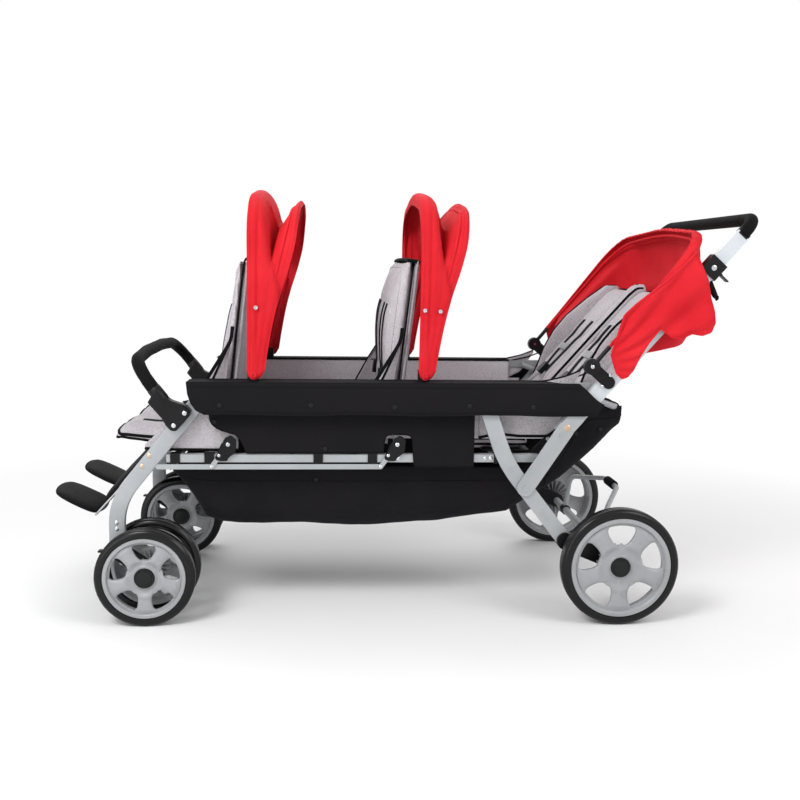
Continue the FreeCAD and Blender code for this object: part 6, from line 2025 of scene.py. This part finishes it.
def arch_line(half: float, tall: float, foot: float, corner: float = 118.0,
              crown: float = 38.0, count: int = 97) -> list[tuple[float, float]]:
    """Evenly spaced pairs of Y and height along a bow from one foot to the other.

    Args:
        half: Half width.
        tall: Height of its crown.
        foot: Height at which the line starts.
        corner: Radius of the shoulders.
        crown: How far the shoulders stand below the crown.
        count: Number of points.

    Returns:
        The points.
    """
    points = [vec(-half, 0, foot), vec(-half, 0, tall - crown), vec(0, 0, tall + 2),
              vec(half, 0, tall - crown), vec(half, 0, foot)]
    line = even(rounded(points, [corner, 900.0, corner], 12), count)
    return [(p.x, p.z) for p in line]


@dataclass(frozen=True)
class Rib:
    """One line of a canopy's cloth: its angle, size and how far it stands off at foot and top."""

    lean: float
    half: float
    tall: float
    foot_off: float
    top_off: float
    foot: float = -8.0


def curve_value(values: Sequence[float], at: float) -> float:
    """Smooth curve through values at whole numbers."""
    last = len(values) - 1
    k = min(last - 1, max(0, int(at)))
    t = at - k
    a, b = values[max(0, k - 1)], values[k]
    c, d = values[k + 1], values[min(last, k + 2)]
    return 0.5 * (2 * b + (c - a) * t + (2 * a - 5 * b + 4 * c - d) * t * t
                  + (3 * b - a - 3 * c + d) * t ** 3)


@dataclass
class UprightCanopy:
    """Folded red canopy on two bows: one sheet with a valley between its bows."""

    name: str
    pivot: tuple[float, float]
    studs: tuple[tuple[float, float], ...]
    ribs: tuple[Rib, ...] = (
        Rib(-1.0, 330.5, 444.0, -13.0, -5.0, 8.0), Rib(-1.0, 332.0, 464.0, -10.5, -3.0, -2.0),
        Rib(-0.6, 332.0, 474.0, -6.0, 4.0, -7.0), Rib(1.6, 331.5, 470.0, -2.0, 7.0, -10.0),
        Rib(4.2, 330.0, 444.0, 3.0, 7.0, -11.5), Rib(7.2, 328.0, 398.0, 8.0, 6.0, -12.0),
        Rib(9.2, 326.0, 396.0, 13.0, 4.0, -11.0), Rib(12.0, 325.0, 438.0, 18.0, 2.0, -9.0),
        Rib(13.5, 324.0, 461.0, 22.0, 2.0, -5.0), Rib(14.5, 322.0, 454.0, 27.0, 3.0, 8.0),
    )
    ridge: Outline = field(default_factory=lambda: [(0.0, 31.0), (30.0, 34.0), (100.0, 44.0),
                                                    (203.0, 62.0), (290.0, 44.0), (376.0, 31.0),
                                                    (470.0, 30.0)])
    lip: Outline = field(default_factory=lambda: [(203.0, 64.0), (290.0, 50.0), (376.0, 66.0),
                                                  (440.0, 94.0), (470.0, 108.0)])

    def _place(self, u: float, v: float) -> Vector:
        """Place on the sheet, u from the front hem to the rear one and v across."""
        at = u * (len(self.ribs) - 1)
        pick = {name: curve_value([getattr(r, name) for r in self.ribs], at)
                for name in ("lean", "half", "tall", "foot_off", "top_off", "foot")}
        y, h = self.lines[round(u * self.columns)][round(v * 96)]
        share = min(1.0, max(0.0, h / 300.0))
        off = mix(pick["foot_off"], pick["top_off"], share ** 0.8)
        turn = math.radians(pick["lean"])
        x = self.pivot[0] + h * math.sin(turn) + off
        z = self.pivot[1] + h * math.cos(turn)
        spot = vec(x, y, z)
        belly = 17.0 * math.exp(-((h - 310.0) / 105.0) ** 2) * smooth((at - 5.5) / 3)
        x += belly
        dent = max(0.0, math.sin(math.pi * u)) * (1.8 * ripple(spot, 60, 4.0))
        past = x - self.pivot[0]
        edge, lip = table(self.ridge, h), table(self.lip, h)
        fold = 66.0 * smooth((past - edge) / 7) * smooth((lip - past) / 7) * smooth((h - 262) / 60)
        step = 8.0 * smooth((past - edge) / 5) * smooth((h - 170) / 40)
        crease = 5.0 * math.exp(-((past - 11 - 0.01 * h) / 4.5) ** 2) * smooth((h - 60) / 60)
        tuck = 2.4 * math.sin((past * 1.6 + h) / 8.5) * smooth((80 - h) / 50) * math.sin(math.pi * u)
        inward = (fold + step + crease + tuck) * smooth((abs(y) - 170) / 110)
        return vec(x + dent * 0.6, y + math.copysign(1.0, y) * (dent * 0.25 - inward), z + dent * 0.5)

    def build(self) -> None:
        """Make the sheet, its hems, seams and studs."""
        self.columns = 54
        self.lines = []
        for i in range(self.columns + 1):
            at = i / self.columns * (len(self.ribs) - 1)
            half = curve_value([r.half for r in self.ribs], at)
            tall = curve_value([r.tall for r in self.ribs], at)
            foot = curve_value([r.foot for r in self.ribs], at)
            self.lines.append(arch_line(half, tall, foot))
        sheet = cloth(f"{self.name}_canopy_cloth", grid(self._place, self.columns, 96), RED,
                      "red_fabric", "", 1.6)
        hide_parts(f"{self.name}_canopy")
        hems = [tube([self._place(u, i / 96) for i in range(97)], 1.9, 8) for u in (0.0, 1.0)]
        rims = put(f"{self.name}_canopy_hems", joined(*hems), RED, "", "red_fabric")
        seams = []
        for column, lift in ((9, 1.0), (46, 1.0)):
            line = [self._place(column / self.columns, i / 96) for i in range(97)]
            seams.append(tube([p + vec(0, math.copysign(lift, p.y) if abs(p.y) > 250 else 0,
                                       lift if abs(p.y) < 320 else 0) for p in line], 0.6, 6))
        seam = put(f"{self.name}_canopy_seams", joined(*seams), RED, "", "red_fabric")
        heads = [snap(vec(self.pivot[0] + x, -334.0, z), 5.2, -1) for x, z in self.studs[:1]]
        front = put(f"{self.name}_canopy_front_studs", both(joined(*heads)), BRIGHT,
                    f"{self.name}_canopy_hood", "rivet_steel")
        heads = [snap(vec(self.pivot[0] + x, -330.0, z), 5.2, -1) for x, z in self.studs[1:]]
        if heads:
            put(f"{self.name}_canopy_rear_studs", both(joined(*heads)), BRIGHT,
                f"{self.name}_canopy_frame", "rivet_steel")
        x, z = self.pivot
        for piece in (sheet, rims, seam):
            DATUM.out(vec(x + 14, 0, z + 80))
            DATUM.out(vec(x - 1, 0, z + 80))
            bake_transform(piece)
        LOG.info("canopy %s with %s", self.name, front.name)


@dataclass
class RearCanopy:
    """Rear canopy, folded back over the push tubes, with its slack bag and side flaps."""

    knob: tuple[float, float] = (654.0, 664.0)
    ribs: tuple[Rib, ...] = (
        Rib(52.0, 355.0, 450.0, 0, 0, 108.0), Rib(51.2, 357.0, 459.0, 0, 0, 108.0),
        Rib(49.2, 356.5, 461.0, 0, 0, 108.0), Rib(47.4, 340.0, 452.0, 0, 0, 108.0),
        Rib(45.6, 310.0, 452.0, 0, 0, 80.0), Rib(41.5, 306.5, 430.0, 0, 0, 118.0),
        Rib(36.9, 306.0, 402.0, 0, 0, 123.0), Rib(32.8, 306.0, 372.0, 0, 0, 123.0),
        Rib(28.8, 306.0, 361.0, 0, 0, 123.0), Rib(24.0, 306.0, 360.0, 0, 0, 123.0),
        Rib(19.4, 306.0, 347.0, 0, 0, 123.0), Rib(15.0, 306.0, 318.0, 0, 0, 123.0),
        Rib(11.7, 306.0, 302.0, 0, 0, 123.0),
    )
    upper: Outline = field(default_factory=lambda: [(700.0, 700.0), (713.0, 744.0), (728.0, 794.0),
                                                    (757.0, 822.0), (790.0, 848.0), (834.0, 884.0),
                                                    (880.0, 928.0), (905.0, 955.0)])
    lower: Outline = field(default_factory=lambda: [(698.0, 698.0), (705.0, 674.0), (715.0, 648.0),
                                                    (729.0, 635.0), (742.0, 639.0), (757.0, 657.0),
                                                    (772.0, 690.0), (795.0, 728.0), (822.0, 762.0),
                                                    (838.0, 750.0), (853.0, 740.0), (874.0, 736.0),
                                                    (903.0, 750.0), (930.0, 746.0), (952.0, 754.0),
                                                    (961.0, 778.0), (957.0, 806.0), (946.0, 838.0),
                                                    (936.0, 884.0), (916.0, 925.0), (905.0, 948.0)])
    columns: int = 72

    def _place(self, u: float, v: float) -> Vector:
        """Place on the hood, u from the hem to the end of the bag and v across."""
        at = u * (len(self.ribs) - 1)
        y, r = self.lines[round(u * self.columns)][round(v * 120)]
        lean = curve_value([q.lean for q in self.ribs], at)
        near = math.exp(-((at - 0.9) / 1.4) ** 2)
        gather = near * 3.4 * math.sin(v * math.tau * 44 + 0.6 * math.sin(v * 57)) * smooth((r - 120) / 160)
        slack = smooth((at - 3.5) / 3)
        spot = vec(y, r, lean * 6)
        fall = slack * (9.0 * ripple(spot, 120, 2.0) + 4.5 * ripple(spot, 46, 6.0))
        turn = math.radians(lean) + fall * 0.3 / max(r, 60)
        r = r + gather + fall * 0.6
        side = math.copysign(min(2.0, abs(fall) * 0.25), y) if slack < 0.2 else 0.0
        return vec(self.knob[0] + r * math.cos(turn), y + side, self.knob[1] + r * math.sin(turn))

    def _flap(self, side: int) -> Callable[[float, float], Vector]:
        """Shape of one side flap.

        Args:
            side: Side of the stroller.

        Returns:
            Function of the shares along and down the flap.
        """
        edge = even([vec(x, 0, z) for x, z in self.lower], 121)
        crest = eased(even([vec(x, 0, z) for x, z in self.upper], 121), 3)
        if side > 0:
            knob = vec(self.knob[0], 0, self.knob[1])
            crest = [knob + unit(51.0) * mix(58, 388, i / 120) for i in range(121)]

        def shape(u: float, v: float) -> Vector:
            """Place on the flap, u from the knob upwards and v down from the bow."""
            spot = crest[round(u * 120)].lerp(edge[round(u * 120)], v)
            away = spot - vec(self.knob[0], 0, self.knob[1])
            angle = math.degrees(math.atan2(away.z, away.x))
            band = smooth(v * 7) * smooth((1 - v) * 9)
            reach = smooth((away.length - 50) / 80)
            folds = 5.0 * math.sin(angle * 0.40 + 1.3 * math.sin(away.length / 70.0)) * band * reach
            folds += 3.0 * ripple(spot, 48, 8.0) * band
            hem = 2.4 * smooth((0.085 - v) / 0.015) + 1.6 * band
            y = 358.6 + folds + hem
            return vec(spot.x, side * max(354.8, min(369.0, y)), spot.z)

        return shape

    def build(self) -> None:
        """Make the hood, the flaps and their hems."""
        self.lines = []
        for i in range(self.columns + 1):
            at = i / self.columns * (len(self.ribs) - 1)
            half = curve_value([r.half for r in self.ribs], at)
            tall = curve_value([r.tall for r in self.ribs], at)
            foot = curve_value([r.foot for r in self.ribs], at)
            self.lines.append(arch_line(half, tall, foot, 100.0, 26.0, 121))
        hood = cloth("rear_canopy_cloth", grid(self._place, self.columns, 120), RED, "red_fabric", "",
                     1.6)
        pieces = [hood]
        hem = [self._place(0.0, i / 120) for i in range(121)]
        pieces.append(put("rear_canopy_hem", tube(hem, 2.4, 8), RED, "", "red_fabric"))
        for side in SIDES:
            word = SIDE_NAME[side]
            shape = self._flap(side)
            flap = cloth(f"rear_canopy_flap_{word}", grid(shape, 120, 44), RED, "red_fabric", "", 1.6)
            rims = [tube([shape(i / 120, v) for i in range(121)], r, 8) for v, r in ((1.0, 2.0),
                                                                                   (0.0, 3.2))]
            rim = put(f"rear_flap_hem_{word}", joined(*rims), RED, "", "red_fabric")
            pieces += [flap, rim]
        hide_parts("rear_canopy")
        across = unit(140)
        knob = vec(self.knob[0], 0, self.knob[1])
        out = vec(0, -350.0, 0)
        boss = lathe(knob + out, [(6.0, 0.5), (6.0, 20.5), (-3.4, 20.5), (-4.8, 18.0), (-4.8, 0.5)], 36)
        sleeve = tube([knob + out + unit(50) * r for r in (10, 40, 66)], 5.8, 14)
        put("rear_knobs", both(joined(boss, sleeve)), PLASTIC, "rear_canopy_hood", "black_plastic")
        put("rear_knob_rivets", both(dome(knob + out + vec(0, -4.7, 0), 5.2, -1, 2.4)), BRIGHT,
            "rear_canopy_hood", "rivet_steel")
        heads = [dome(vec(x, -343.7, z), 4.8, -1, 2.2) for x, z in ((683.0, 613.0), (704.0, 642.0))]
        put("rear_bracket_rivets", both(joined(*heads)), BRIGHT, "push_bar", "rivet_steel")
        for piece in pieces:
            DATUM.out(knob - across * 18)
            DATUM.out(knob - across * 5)
            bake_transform(piece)


def main() -> None:
    """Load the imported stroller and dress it."""
    logging.basicConfig(level=logging.INFO, format="%(name)s: %(message)s")
    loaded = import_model()
    DATUM.find()
    Studio().build()
    Coats().build(loaded["nodes"])
    Wheels().build()
    GrabBar().build()
    HandleGrip().build()
    BrakeBar().build()
    FrontLegs().build()
    Fasteners(((-541.0, 238.0, 306.1, 5.4), (-541.0, 254.0, 306.1, 5.4), (153.0, 420.0, 306.1, 5.0),
               (169.8, 420.0, 306.1, 5.0), (396.4, 420.0, 306.1, 5.0), (410.8, 420.0, 306.1, 5.0),
               (395.0, 555.0, 332.6, 8.0)),
              ((-456.0, 427.0, 306.1, 5.6), (-474.0, 400.0, 306.1, 5.6),
               (600.0, 505.0, 338.1, 8.4))).build()
    for name, seat_x, hinge_x in (("front", -548.0, -259.0), ("middle", -122.0, 168.0)):
        SeatRow(name, seat_x, 203.0, (hinge_x, 457.0)).build()
    RearSeat().build()
    SeatSkirts().build()
    SideBand().build()
    Basket().build()
    UprightCanopy("front", (-195.0, 636.0), ((9.0, 802.0),)).build()
    UprightCanopy("middle", (232.0, 636.0), ((-1.0, 799.0), (38.0, 797.0))).build()
    RearCanopy().build()
    Footrest().build()


if __name__ == "__main__":
    main()
